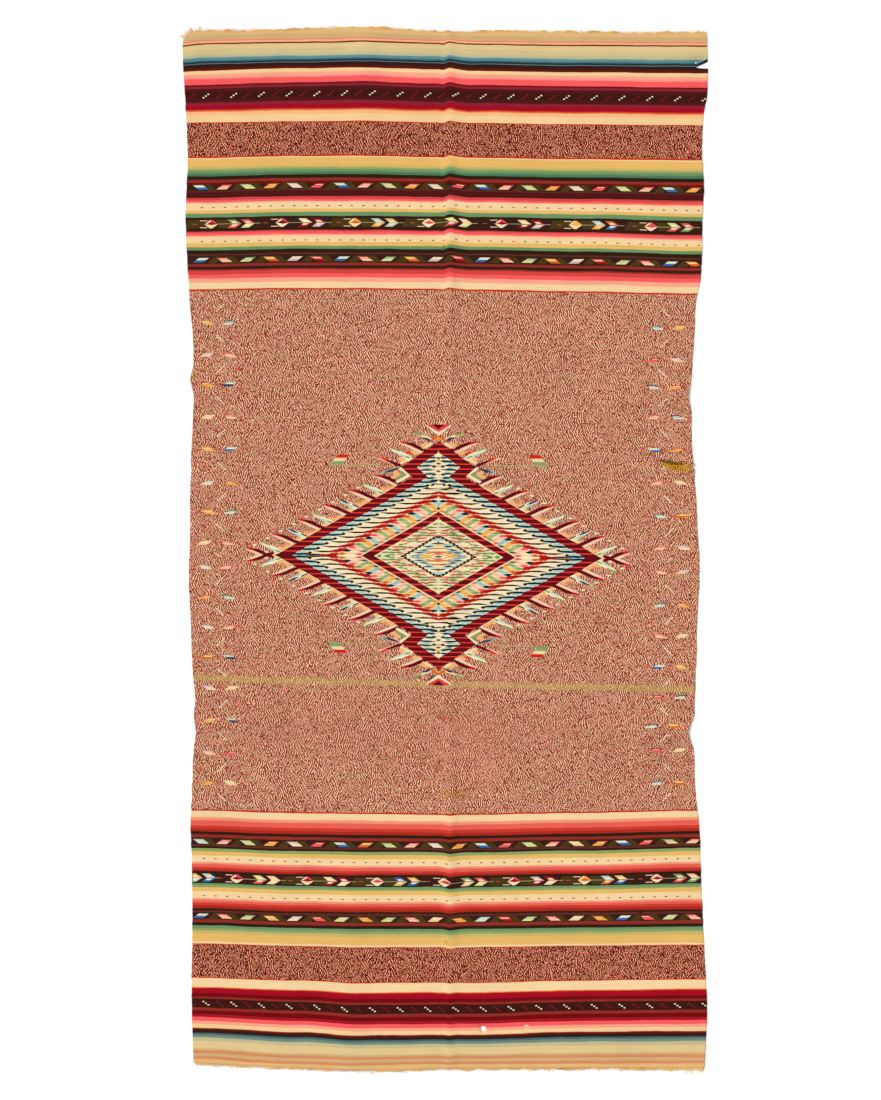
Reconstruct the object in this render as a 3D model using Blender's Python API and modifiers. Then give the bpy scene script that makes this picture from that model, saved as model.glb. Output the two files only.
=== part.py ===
"""Serape: a single-width wool blanket with raw, frayed ends, laid out flat and face up.

Metres, +Z up. +Y runs along the warp towards the upper end, +X across the cloth to the right.
The underside lies on the plane z = 0, and the origin is under the middle of the whole piece.
"""
import math
import random
from collections import namedtuple

import bpy
import numpy as np
from mathutils import Vector

MM = 0.001

# Sizes of the cloth and of its frayed ends.
CLOTH_THICKNESS = 2.0 * MM
FRAY_THICKNESS = 1.6 * MM
PARTING_GAP = 0.3 * MM
HEADING_WIDTH = 3.0 * MM
FRAY_DEPTH = 5.0 * MM
STRANDS_PER_END = 112
STRAND_ROOT_WIDTH = 4.2 * MM
STRAND_TIP_WIDTH = 1.6 * MM
COARSE_COLUMN_STEP = 96 * MM
CUTTER_REACH = 30 * MM

# Where the selvedges lie, in mm, at each place along the cloth, upper end first.
Selvedge = namedtuple("Selvedge", "along left right")
SELVEDGES = (
    Selvedge(1150, -578, 573),
    Selvedge(1115, -579, 574),
    Selvedge(1010, -574, 574),
    Selvedge(939, -570, 564),
    Selvedge(869, -568, 563),
    Selvedge(799, -570, 567),
    Selvedge(728, -572, 563),
    Selvedge(658, -570, 563),
    Selvedge(587, -565, 557),
    Selvedge(552, -563, 550),
    Selvedge(482, -557, 546),
    Selvedge(411, -556, 541),
    Selvedge(376, -561, 539),
    Selvedge(341, -554, 532),
    Selvedge(306, -556, 539),
    Selvedge(235, -559, 540),
    Selvedge(165, -561, 546),
    Selvedge(24, -563, 554),
    Selvedge(-46, -565, 557),
    Selvedge(-152, -561, 552),
    Selvedge(-293, -555, 548),
    Selvedge(-363, -554, 545),
    Selvedge(-398, -550, 532),
    Selvedge(-433, -554, 543),
    Selvedge(-504, -557, 546),
    Selvedge(-609, -561, 557),
    Selvedge(-680, -559, 559),
    Selvedge(-821, -557, 565),
    Selvedge(-961, -559, 572),
    Selvedge(-997, -559, 574),
    Selvedge(-1102, -555, 570),
    Selvedge(-1150, -553, 568),
)

# Where the two raw ends lie, in mm, at each place across the cloth, left side first.
EndLine = namedtuple("EndLine", "across upper lower")
END_LINES = (
    EndLine(-580, 1146, -1128),
    EndLine(-540, 1148, -1131),
    EndLine(-380, 1150, -1139),
    EndLine(-220, 1154, -1145),
    EndLine(-120, 1152, -1146),
    EndLine(-20, 1145, -1143),
    EndLine(150, 1146, -1142),
    EndLine(340, 1143, -1141),
    EndLine(520, 1141, -1142),
    EndLine(575, 1144, -1141),
)

# The folds that stand up from the floor, in mm: the middle of each, how far it turns from the warp
# in degrees, the length that it fades out over, its half width and its height.
Fold = namedtuple("Fold", "name across along turn half_length half_width height")
FOLDS = (
    Fold("centre crease", 9, 0, 0, 1400, 22, 4.0),
    Fold("upper left swell", -182, 1080, 0, 260, 58, 3.5),
    Fold("lower left swell", -214, -1030, 0, 330, 62, 4.0),
    Fold("lower right swell", 262, -1080, 0, 220, 66, 3.0),
    Fold("upper right pucker", 560, 345, 90, 250, 34, 5.5),
    Fold("lower right pucker", 560, -398, 90, 260, 32, 5.5),
    Fold("upper left pucker", -590, 374, 90, 190, 30, 4.5),
    Fold("patch pucker", 580, 186, 90, 170, 30, 3.5),
)

# What is worn away, in mm: corners of each gap, seen from above.
Gap = namedtuple("Gap", "name corners")
GAPS = (
    Gap("selvedge tear", ((548, 1064), (556, 1067), (580, 1077), (580, 1062), (560, 1062))),
    Gap("pinhole by the tear", ((546, 1074), (549, 1077), (552, 1074), (549, 1071))),
    Gap("notch in the worn patch", ((541, 180), (541, 190), (556, 191), (556, 179))),
    Gap("hole in the lower stripes",
        ((76, -1046), (81, -1044), (87, -1046), (88, -1053), (85, -1057), (78, -1056))),
)

# Longer yarns at the corners, in mm: where they start, how far they reach and how far they lean.
LooseYarn = namedtuple("LooseYarn", "end across reach lean")
LOOSE_YARNS = (
    LooseYarn("upper", -572, 14, -5),
    LooseYarn("upper", -558, 10, 3),
    LooseYarn("upper", -540, 9, 5),
    LooseYarn("upper", -10, 9, -4),
    LooseYarn("lower", 560, 17, 5),
    LooseYarn("lower", 549, 20, 2),
    LooseYarn("lower", 538, 15, -3),
    LooseYarn("lower", 527, 12, 3),
)
SHORTEST_STRAND = 3.0
LONGEST_STRAND = 7.5
STRAND_LEAN = 1.6
LOOSE_YARN_CATCH = 6.0

CLOTH_COLOUR = (0.53, 0.24, 0.15, 1.0)
WARP_COLOUR = (0.74, 0.53, 0.31, 1.0)
WOOL_ROUGHNESS = 0.92


def clear_scene():
    """Start from an empty scene."""
    for thing in list(bpy.data.objects):
        bpy.data.objects.remove(thing, do_unlink=True)


def new_collection(name):
    """Make a collection in the scene."""
    collection = bpy.data.collections.new(name)
    bpy.context.scene.collection.children.link(collection)
    return collection


def move_to(thing, collection):
    """Put an object in one collection only."""
    for holder in list(thing.users_collection):
        holder.objects.unlink(thing)
    collection.objects.link(thing)


def cloth_material(name, colour):
    """A matt woollen finish."""
    material = bpy.data.materials.new(name)
    material.use_nodes = True
    shader = material.node_tree.nodes["Principled BSDF"]
    shader.inputs["Base Color"].default_value = colour
    shader.inputs["Roughness"].default_value = WOOL_ROUGHNESS
    shader.inputs["Metallic"].default_value = 0.0
    return material


def curve_through(places, values):
    """A function that reads one smooth curve through the given points."""
    order = np.argsort(places)
    places = np.array(places, dtype=float)[order] * MM
    values = np.array(values, dtype=float)[order] * MM
    slopes = np.gradient(values, places)

    def read(place):
        place = min(max(place, places[0]), places[-1])
        i = min(int(np.searchsorted(places, place, side="right")) - 1, len(places) - 2)
        step = places[i + 1] - places[i]
        t = (place - places[i]) / step
        ease = t * t * (3 - 2 * t)
        bend = step * t * (1 - t) * (slopes[i] * (1 - t) - slopes[i + 1] * t)
        return values[i] * (1 - ease) + values[i + 1] * ease + bend

    return read


left_edge = curve_through([row.along for row in SELVEDGES], [row.left for row in SELVEDGES])
right_edge = curve_through([row.along for row in SELVEDGES], [row.right for row in SELVEDGES])
upper_end = curve_through([row.across for row in END_LINES], [row.upper for row in END_LINES])
lower_end = curve_through([row.across for row in END_LINES], [row.lower for row in END_LINES])


def fold_height(fold, across, along):
    """How high one fold lifts the cloth at a place."""
    turn = math.radians(fold.turn)
    x = across - fold.across * MM
    y = along - fold.along * MM
    beside = (x * math.cos(turn) + y * math.sin(turn)) / (fold.half_width * MM)
    onward = (y * math.cos(turn) - x * math.sin(turn)) / (fold.half_length * MM)
    if abs(beside) >= 1 or abs(onward) >= 1:
        return 0.0
    ridge = math.cos(beside * math.pi / 2) ** 2
    fade = math.cos(onward * math.pi / 2) ** 0.6
    return fold.height * MM * ridge * fade


def lift(across, along):
    """How high the cloth's underside stands from the floor."""
    return max(fold_height(fold, across, along) for fold in FOLDS)


def spaced(places, least_gap):
    """The places in order, without those that crowd the one before."""
    kept = []
    for place in sorted(places):
        if not kept or place - kept[-1] >= least_gap:
            kept.append(place)
    return kept


def fold_stations(turned):
    """Places across each fold that its rounded form needs."""
    stations = []
    for fold in FOLDS:
        if (fold.turn == 90) == turned:
            middle = fold.along if turned else fold.across
            stations += [(middle + fold.half_width * share) * MM for share in (-1, -0.5, 0, 0.5, 1)]
    return stations


def column_shares():
    """Grid columns as shares of the way from the left selvedge to the right one."""
    left = -560 * MM
    right = 550 * MM
    count = round((right - left) / COARSE_COLUMN_STEP)
    places = [left + (right - left) * i / count for i in range(1, count)] + fold_stations(False)
    inner = spaced([place for place in places if left + 0.02 < place < right - 0.02], 11 * MM)
    return [0.0] + [(place - left) / (right - left) for place in inner] + [1.0]


def row_shares():
    """Grid rows as shares of the way from the lower end to the upper one."""
    low = SELVEDGES[-1].along * MM
    high = SELVEDGES[0].along * MM
    sections = [row.along * MM for row in SELVEDGES[1:-1]]
    between = [(a + b) / 2 for a, b in zip(sections, sections[1:])]
    inner = spaced(sections + between + fold_stations(True), 14 * MM)
    return [0.0] + [(place - low) / (high - low) for place in inner if low < place < high] + [1.0]


def laid_point(across_share, along_share):
    """The underside's point at a share of the width and of the length."""
    along = SELVEDGES[-1].along * MM * (1 - along_share) + SELVEDGES[0].along * MM * along_share
    across = left_edge(along) * (1 - across_share) + right_edge(along) * across_share
    bottom = lower_end(across) + FRAY_DEPTH
    top = upper_end(across) - FRAY_DEPTH
    along = bottom * (1 - along_share) + top * along_share
    return Vector((across, along, lift(across, along)))


def make_cloth(collection):
    """The woven cloth: a grid laid on the folds and outline, then given its thickness."""
    columns = column_shares()
    rows = row_shares()
    bpy.ops.mesh.primitive_grid_add(x_subdivisions=len(columns) - 1, y_subdivisions=len(rows) - 1, size=2)
    cloth = bpy.context.object
    cloth.name = "cloth"
    cloth.data.name = "cloth"
    for point in cloth.data.vertices:
        column = round((point.co.x + 1) / 2 * (len(columns) - 1))
        row = round((point.co.y + 1) / 2 * (len(rows) - 1))
        point.co = laid_point(columns[column], rows[row])
    thickness = cloth.modifiers.new("thickness", "SOLIDIFY")
    thickness.thickness = CLOTH_THICKNESS
    thickness.offset = 1.0
    thickness.use_even_offset = False
    cloth.data.materials.append(cloth_material("woven wool", CLOTH_COLOUR))
    move_to(cloth, collection)
    return cloth


def flat_outline(name, points, half_thickness):
    """A closed flat outline with thickness, as a filled curve."""
    curve = bpy.data.curves.new(name, "CURVE")
    curve.dimensions = "2D"
    curve.fill_mode = "BOTH"
    curve.extrude = half_thickness
    spline = curve.splines.new("POLY")
    spline.points.add(len(points) - 1)
    for point, place in zip(spline.points, points):
        point.co = (place[0], place[1], 0.0, 1.0)
    spline.use_cyclic_u = True
    return bpy.data.objects.new(name, curve)


def cut_gaps(cloth, cutters):
    """Cut the tear, the notch and the holes through the cloth."""
    for gap in GAPS:
        outline = flat_outline(gap.name, [(x * MM, y * MM) for x, y in gap.corners], CUTTER_REACH)
        cutters.objects.link(outline)
        bpy.context.view_layer.update()
        settled = outline.evaluated_get(bpy.context.evaluated_depsgraph_get())
        mesh = bpy.data.meshes.new_from_object(settled)
        cutter = bpy.data.objects.new(gap.name + " cutter", mesh)
        weld = cutter.modifiers.new("weld", "WELD")
        weld.merge_threshold = 0.00001
        cutter.hide_render = True
        cutter.display_type = "WIRE"
        cutters.objects.link(cutter)
        bpy.data.objects.remove(outline, do_unlink=True)
        cut = cloth.modifiers.new(gap.name, "BOOLEAN")
        cut.operation = "DIFFERENCE"
        cut.object = cutter


def strand_roots(end):
    """Where the strands of one end stand, how long each is and how far it leans."""
    draw = random.Random("strands at the " + end + " end")
    first = SELVEDGES[0] if end == "upper" else SELVEDGES[-1]
    left = first.left * MM + STRAND_ROOT_WIDTH
    right = first.right * MM - STRAND_ROOT_WIDTH
    loose = [yarn for yarn in LOOSE_YARNS if yarn.end == end]
    roots = []
    for i in range(STRANDS_PER_END):
        across = left + (right - left) * i / (STRANDS_PER_END - 1)
        reach = draw.uniform(SHORTEST_STRAND, LONGEST_STRAND)
        lean = draw.uniform(-STRAND_LEAN, STRAND_LEAN)
        for yarn in loose:
            if abs(across / MM - yarn.across) < LOOSE_YARN_CATCH:
                reach = yarn.reach
                lean = yarn.lean
        roots.append((across, reach * MM, lean * MM))
    return roots


def make_fray(end, name, collection):
    """One raw end: a narrow heading beyond the cloth's edge and the strands that stand out of it."""
    outward = 1 if end == "upper" else -1
    line = upper_end if end == "upper" else lower_end
    inner = PARTING_GAP - FRAY_DEPTH
    outer = inner + HEADING_WIDTH
    first = SELVEDGES[0] if end == "upper" else SELVEDGES[-1]
    left = first.left * MM
    right = first.right * MM
    columns = [left + (right - left) * share for share in column_shares()]
    points = [(x, line(x) + outward * inner) for x in reversed(columns)]
    points.append((left, line(left) + outward * outer))
    for across, reach, lean in strand_roots(end):
        foot = line(across) + outward * outer
        tip = foot + outward * reach
        points.append((across - STRAND_ROOT_WIDTH / 2, foot))
        points.append((across + lean - STRAND_TIP_WIDTH / 2, tip))
        points.append((across + lean + STRAND_TIP_WIDTH / 2, tip))
        points.append((across + STRAND_ROOT_WIDTH / 2, foot))
    points.append((right, line(right) + outward * outer))
    fray = flat_outline(name, points, FRAY_THICKNESS / 2)
    fray.location.z = FRAY_THICKNESS / 2
    fray.data.materials.append(cloth_material(name + " warp", WARP_COLOUR))
    collection.objects.link(fray)
    return fray


def centre_on_origin(things):
    """Bring the middle of the whole piece, seen from above, over the origin."""
    bpy.context.view_layer.update()
    corners = [thing.matrix_world @ Vector(corner) for thing in things for corner in thing.bound_box]
    across = [corner.x for corner in corners]
    along = [corner.y for corner in corners]
    middle = Vector(((min(across) + max(across)) / 2, (min(along) + max(along)) / 2, 0.0))
    for thing in bpy.data.objects:
        thing.location -= middle
    bpy.context.view_layer.update()


def main():
    clear_scene()
    serape = new_collection("serape")
    cutters = new_collection("cutters")
    cloth = make_cloth(serape)
    cut_gaps(cloth, cutters)
    fray_top = make_fray("upper", "fray_top", serape)
    fray_bottom = make_fray("lower", "fray_bottom", serape)
    centre_on_origin([cloth, fray_top, fray_bottom])


main()
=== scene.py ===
"""The looks of the serape: weave, stripes, woven figures, wear and frayed ends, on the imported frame."""
import math
import random
from collections import namedtuple

import bpy
import numpy as np
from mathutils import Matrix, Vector, noise
from mathutils.geometry import delaunay_2d_cdt


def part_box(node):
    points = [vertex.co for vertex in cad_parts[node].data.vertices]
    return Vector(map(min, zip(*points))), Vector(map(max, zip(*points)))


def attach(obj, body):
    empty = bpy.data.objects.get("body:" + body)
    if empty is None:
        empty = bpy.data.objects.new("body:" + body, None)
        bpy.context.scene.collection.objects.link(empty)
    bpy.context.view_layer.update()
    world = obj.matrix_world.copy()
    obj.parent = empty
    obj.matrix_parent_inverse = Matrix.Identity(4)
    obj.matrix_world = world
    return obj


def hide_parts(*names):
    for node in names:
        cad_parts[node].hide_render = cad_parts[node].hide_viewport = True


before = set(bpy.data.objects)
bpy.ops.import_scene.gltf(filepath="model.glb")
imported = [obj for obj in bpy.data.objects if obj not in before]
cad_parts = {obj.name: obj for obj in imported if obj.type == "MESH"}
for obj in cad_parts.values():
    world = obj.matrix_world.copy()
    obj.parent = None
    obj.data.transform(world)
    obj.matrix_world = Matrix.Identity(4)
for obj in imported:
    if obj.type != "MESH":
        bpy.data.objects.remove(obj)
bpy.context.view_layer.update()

MM = 0.001
BODY = "root"


def table(columns, *rows):
    """Rows whose columns have names."""
    kind = namedtuple("Row", columns)
    return tuple(kind(*row) for row in rows)


def bands(text):
    """Bands of weft, each a yarn and its count of picks."""
    parts = [part.rsplit(" ", 1) for part in text.split(",")]
    return table("yarn picks", *[(yarn.strip(), int(picks)) for yarn, picks in parts])


# The cloth as it lies, in mm, in the same sizes as the solid. "Across" runs to the right and
# "along" runs up to the upper end.
THICKNESS = 1.9
FRAY_DEPTH = 5.0

SELVEDGES = table(
    "along left right",
    (1150, -578, 573), (1115, -579, 574), (1010, -574, 574), (939, -570, 564), (869, -568, 563),
    (799, -570, 567), (728, -572, 563), (658, -570, 563), (587, -565, 557), (552, -563, 550),
    (482, -557, 546), (411, -556, 541), (376, -561, 539), (341, -554, 532), (306, -556, 539),
    (235, -559, 540), (165, -561, 546), (24, -563, 554), (-46, -565, 557), (-152, -561, 552),
    (-293, -554, 548), (-328, -550.5, 546.5), (-363, -554, 545), (-398, -550, 532), (-433, -554, 543),
    (-504, -557, 546), (-609, -561, 557), (-680, -559, 559), (-821, -557, 565), (-961, -559, 572),
    (-997, -559, 574), (-1102, -555, 570), (-1150, -553, 568),
)

END_LINES = table(
    "across upper lower",
    (-580, 1146, -1128), (-540, 1147, -1131), (-380, 1148, -1139), (-220, 1154, -1145),
    (-120, 1152, -1146), (-20, 1145, -1143), (150, 1146, -1142), (340, 1144, -1141), (520, 1143, -1142),
    (575, 1144, -1141),
)

FOLDS = table(
    "name across along turn half_length half_width height",
    ("centre crease", 9, 0, 0, 1400, 22, 4.0),
    ("upper left swell", -182, 1080, 0, 260, 58, 3.5),
    ("lower left swell", -214, -1030, 0, 330, 62, 4.0),
    ("lower right swell", 262, -1080, 0, 220, 66, 3.0),
    ("upper right pucker", 560, 345, 90, 250, 34, 5.5),
    ("lower right pucker", 560, -398, 90, 260, 32, 5.5),
    ("upper left pucker", -590, 374, 90, 190, 30, 4.5),
    ("patch pucker", 580, 186, 90, 170, 30, 3.5),
)

# How far each row of weft rises or falls across the cloth, in mm, against its height at 295 across.
RISE_PLACES = (-560, -320, -190, -22, 13, 53, 295, 554)
WEFTS = table(
    "along rises",
    (1146, (3, 7, 9, 1, 1, 1, 0, -2)),
    (1113, (4, 7, 9, 5, 5, 3, 0, -1)),
    (1023, (3, 9, 11, 6, 7, 3, 0, -3)),
    (939, (4, 7, 8, 5, 6, 3, 0, -2)),
    (823, (2, 7, 7.5, 4.5, 6.5, 3, 0, -3)),
    (702, (1.5, 5.5, 5.5, 4.5, 7, 3.5, 0, -6)),
    (572, (4.5, 7.5, 7, 5.5, 6, 4, 0, -5)),
    (431, (10, 8, 6.5, 5, 5, 3.5, 0, -2)),
    (222, (2, 1, 1, 1, 1, 0.5, 0, 0)),
    (-9, (10, 6.5, 5.5, 3.5, 3.5, 2.5, 0, -2)),
    (-196, (17.5, 12, 10, 6, 5.5, 5, 0, -4.5)),
    (-306, (21, 14, 11, 6.5, 6, 5.5, 0, -5)),
    (-438, (13, 6.5, 4.5, 1, 0.5, 0.5, 0, 0)),
    (-576, (5.5, -0.5, -2, -4, -4.5, -4, 0, 5)),
    (-711, (6, -1, -3.5, -3, -6, -3.5, 0, 5.5)),
    (-832, (5.5, -1, -3, -3, -4.5, -2.5, 0, 2.5)),
    (-946, (6, 0, -5.5, -4.5, -4.5, -5, 0, 2.5)),
    (-1058, (9, -1, -8, -7, -6, -6.5, 0, 1.5)),
    (-1142, (11, -2, -3, 0, 0, 0, 0, 0)),
)

# Dyed yarns, as red, green and blue from 0 to 255.
YARNS = {
    "tan": (224, 183, 126), "grey tan": (211, 173, 119), "peach tan": (224, 165, 120),
    "orange tan": (217, 140, 95), "pale salmon": (246, 174, 134), "nut": (118, 52, 28),
    "khaki": (228, 199, 141), "grey khaki": (214, 194, 140), "straw grey": (198, 188, 142),
    "sage": (172, 178, 146), "dusk": (108, 144, 139), "teal blue": (64, 112, 122), "slate": (36, 46, 56),
    "black brown": (50, 24, 18), "oxblood": (98, 14, 6), "rust": (140, 40, 22), "cream": (246, 207, 150),
    "warm cream": (250, 188, 132), "pale cream": (245, 212, 160), "salmon": (252, 165, 138),
    "pink": (254, 140, 132), "coral": (250, 92, 92), "deep coral": (214, 68, 62),
    "rose red": (165, 20, 32), "dark red": (115, 2, 8), "crimson": (164, 2, 34), "plum": (134, 34, 47),
    "brown plum": (80, 17, 17), "earth": (62, 18, 13), "orange red": (212, 74, 36),
    "apricot": (242, 122, 68), "gold": (232, 185, 102), "olive gold": (203, 180, 105),
    "green": (142, 162, 98), "mid green": (108, 147, 98), "deep green": (74, 122, 87),
    "bark": (45, 25, 12), "brick": (144, 44, 33), "olive brown": (56, 26, 17), "umber": (97, 42, 35),
    "maroon": (102, 4, 16), "scarlet": (228, 62, 50), "red": (170, 12, 16), "peach": (244, 178, 118),
    "blush": (250, 196, 158), "rose": (228, 82, 86), "sky": (178, 206, 190), "pale sky": (212, 224, 200),
    "pale blue": (142, 182, 180), "bright blue": (48, 106, 168), "navy": (22, 62, 92),
    "deep navy": (14, 46, 78), "lime": (218, 220, 140), "leaf": (128, 160, 100),
    "deep leaf": (98, 134, 76), "pale leaf": (190, 192, 132), "flame": (222, 100, 30),
    "amber": (246, 172, 66), "lilac": (206, 184, 180), "bone": (246, 218, 184), "wine line": (44, 8, 12),
    "olive": (72, 54, 20), "pale green": (232, 222, 166), "pole": (168, 164, 108),
    "red thread": (200, 44, 24), "fleck green": (98, 96, 56), "pitch": (44, 36, 14),
    "low blue": (71, 105, 107), "low sage": (112, 138, 125), "fleck red": (138, 30, 34),
    "ivory": (248, 230, 186), "side red": (208, 84, 54), "fleck coral": (206, 82, 60),
    "pale bone": (255, 240, 206), "flag red": (208, 34, 24), "barb red": (206, 30, 42),
    "gold tan": (228, 183, 118), "coral tan": (234, 128, 84), "soft teal": (92, 142, 148),
    "light coral": (244, 146, 118), "warm coral": (234, 96, 82), "red clay": (204, 58, 44),
    "deep clay": (176, 40, 26), "blue black": (20, 26, 56), "ink": (10, 36, 54), "shell": (250, 206, 172),
}

# Bands of weft, from the upper end down and from the foot of the field down, in picks of one yarn.
PICK = 1.1
UPPER_START = 1145.1
UPPER_BANDS = bands("""
    gold tan 8, tan 5, grey tan 8, peach tan 2, coral tan 2, pale salmon 4, nut 3, khaki 10,
    grey khaki 9, straw grey 5, sage 2, soft teal 5, teal blue 3, slate 4, dusk 1, black brown 8,
    oxblood 5, cream 7, salmon 7, pink 3, coral 11, dark red 3, plum 5, brown plum 7, earth 14,
    brown plum 7, plum 6, crimson 9, orange red 2, apricot 2, warm cream 7, cream 14, red thread 2,
    dark marl 65, red thread 3, pale cream 2, gold 16, olive gold 4, green 4, mid green 5, deep green 5,
    bark 7, brick 6, oxblood 5, olive brown 11, umber 2, brown plum 10, bark 2, deep coral 5, coral 4,
    salmon 2, pale cream 14, gold 6, mid green 8, bark 4, olive brown 20, bark 4, deep coral 3, coral 5,
    salmon 3, pale cream 13, gold 8, mid green 6, bark 8, umber 3, olive brown 17, brick 6, bark 5,
    brick 3, deep coral 8, coral 8, salmon 9, pale cream 13, red thread 3
""")
LOWER_START = -573.1
LOWER_BANDS = bands("""
    red thread 3, pale cream 12, peach 2, light coral 5, warm coral 10, red clay 6, deep clay 6, bark 6,
    brick 6, bark 2, olive brown 10, bark 2, umber 4, bark 4, green 6, gold 8, pale cream 14,
    light coral 4, warm coral 6, red clay 4, deep clay 4, bark 4, olive brown 18, bark 2, mid green 4,
    green 4, gold 8, pale cream 14, light coral 4, warm coral 5, red clay 5, deep clay 6, bark 4,
    umber 4, olive brown 12, bark 2, brick 6, bark 6, mid green 5, green 5, olive gold 6, gold 16,
    pale cream 4, red thread 2, dark marl 66, red thread 2, pale cream 18, apricot 2, red 4, crimson 7,
    dark red 7, brick 4, earth 18, brick 6, dark red 8, rose red 6, coral 8, salmon 6, cream 8, rust 2,
    oxblood 2, black brown 6, low blue 4, low sage 6, straw grey 7, khaki 15, grey tan 4, orange tan 6,
    grey tan 6, orange tan 6, gold tan 20
""")


def curve_through(places, values):
    """A function that reads one smooth curve through the given points."""
    order = np.argsort(places)
    places = np.array(places, dtype=float)[order]
    values = np.array(values, dtype=float)[order]
    slopes = np.gradient(values, places)

    def read(place):
        place = min(max(place, places[0]), places[-1])
        i = min(int(np.searchsorted(places, place, side="right")) - 1, len(places) - 2)
        step = places[i + 1] - places[i]
        t = (place - places[i]) / step
        ease = t * t * (3 - 2 * t)
        bend = step * t * (1 - t) * (slopes[i] * (1 - t) - slopes[i + 1] * t)
        return values[i] * (1 - ease) + values[i + 1] * ease + bend

    return read


smooth_left_edge = curve_through([row.along for row in SELVEDGES], [row.left for row in SELVEDGES])
smooth_right_edge = curve_through([row.along for row in SELVEDGES], [row.right for row in SELVEDGES])
smooth_upper_end = curve_through([row.across for row in END_LINES], [row.upper for row in END_LINES])
lower_end = curve_through([row.across for row in END_LINES], [row.lower for row in END_LINES])
EDGE_WAVE = 1.0
CORNER_WEAR = 18.0
CORNER_WEAR_START = -545.0


def wave(place, length, row):
    """A slow random wave between about -1 and 1."""
    return noise.noise(Vector((place / length, row, 0.37)))


def left_edge(along):
    return smooth_left_edge(along) + EDGE_WAVE * (wave(along, 11, 1.3) + wave(along, 37, 2.1))


def right_edge(along):
    return smooth_right_edge(along) + EDGE_WAVE * (wave(along, 11, 6.3) + wave(along, 37, 7.1))


def upper_end(across):
    """The upper end of the weave, worn away towards its left corner."""
    worn = min(max((CORNER_WEAR_START - across) / 33, 0.0), 1.0)
    return smooth_upper_end(across) - CORNER_WEAR * worn ** 1.8


rise_columns = [
    curve_through([weft.along for weft in WEFTS], [weft.rises[i] for weft in WEFTS])
    for i in range(len(RISE_PLACES))
]


def rise(across, weft_along):
    """How far a row of weft stands above its own height at the datum, in mm."""
    place = min(max(across, RISE_PLACES[0]), RISE_PLACES[-1])
    i = min(int(np.searchsorted(RISE_PLACES, place, side="right")) - 1, len(RISE_PLACES) - 2)
    share = (place - RISE_PLACES[i]) / (RISE_PLACES[i + 1] - RISE_PLACES[i])
    ease = share * share * (3 - 2 * share)
    level = rise_columns[i](weft_along) * (1 - ease) + rise_columns[i + 1](weft_along) * ease
    return level + jog(across, weft_along)


CREASE_DIP = curve_through((-600, 100, 850), (0, -0.4, -2.2))
CREASE_BUMP = curve_through((-600, 100, 850), (-1.6, 0.4, 2.2))
CORNER_START = 1000
CORNER_DROP = 6.0


def jog(across, weft_along):
    """How the weft kinks either side of the centre crease and droops at the upper left corner."""
    dip = CREASE_DIP(weft_along) * math.exp(-((across + 6) / 7) ** 2)
    bump = CREASE_BUMP(weft_along) * math.exp(-((across - 8) / 8) ** 2)
    corner = max(weft_along - CORNER_START, 0) / 120
    return dip + bump - CORNER_DROP * corner * math.exp(-(across + 578) / 20)


def laid(across, weft_along):
    """Where a place on a row of weft lies along the cloth."""
    return weft_along + rise(across, weft_along)


def on_weft(across, along):
    """The row of weft that passes a place on the laid cloth."""
    weft_along = along
    for _ in range(4):
        weft_along = along - rise(across, weft_along)
    return weft_along


def fold_height(fold, across, along):
    """How high one fold lifts the cloth at a place, in mm."""
    turn = math.radians(fold.turn)
    x = across - fold.across
    y = along - fold.along
    beside = (x * math.cos(turn) + y * math.sin(turn)) / fold.half_width
    onward = (y * math.cos(turn) - x * math.sin(turn)) / fold.half_length
    if abs(beside) >= 1 or abs(onward) >= 1:
        return 0.0
    return fold.height * math.cos(beside * math.pi / 2) ** 2 * math.cos(onward * math.pi / 2) ** 0.6


def lift(across, along):
    """How high the cloth's underside stands from the floor, in mm."""
    return max(fold_height(fold, across, along) for fold in FOLDS)


def middle_of_solids():
    """What the part's own frame takes away from the places above, in mm."""
    low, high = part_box("cloth")
    columns = [smooth_left_edge(along) for along in np.arange(-1150, 1151, 2.0)]
    rows = [smooth_upper_end(across) - FRAY_DEPTH for across in np.arange(-580, 576, 2.0)]
    return min(columns) - low[0] / MM, max(rows) - high[1] / MM


SHIFT_X, SHIFT_Y = middle_of_solids()


def to_frame(across, along, height):
    """A place on the laid cloth in mm, as a point in the frame in metres."""
    return ((across - SHIFT_X) * MM, (along - SHIFT_Y) * MM, height * MM)


STAGE_LIGHT = 1.14


def linear(yarn):
    """A yarn's colour as the shader wants it, less what the stage's strong light adds."""
    shares = [value / 255 for value in YARNS[yarn]]
    return [(c / 12.92 if c <= 0.04045 else ((c + 0.055) / 1.055) ** 2.4) / STAGE_LIGHT for c in shares]


SMALLEST_FIGURE = 0.4


def turned_area(corners):
    """The area within the corners, in square mm, negative where they run clockwise."""
    ahead = corners[1:] + corners[:1]
    return sum(a[0] * b[1] - b[0] * a[1] for a, b in zip(corners, ahead)) / 2


def anticlockwise(corners):
    """The corners in the order that keeps the shape's inside on the left."""
    return list(corners) if turned_area(corners) > 0 else list(reversed(corners))


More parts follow.
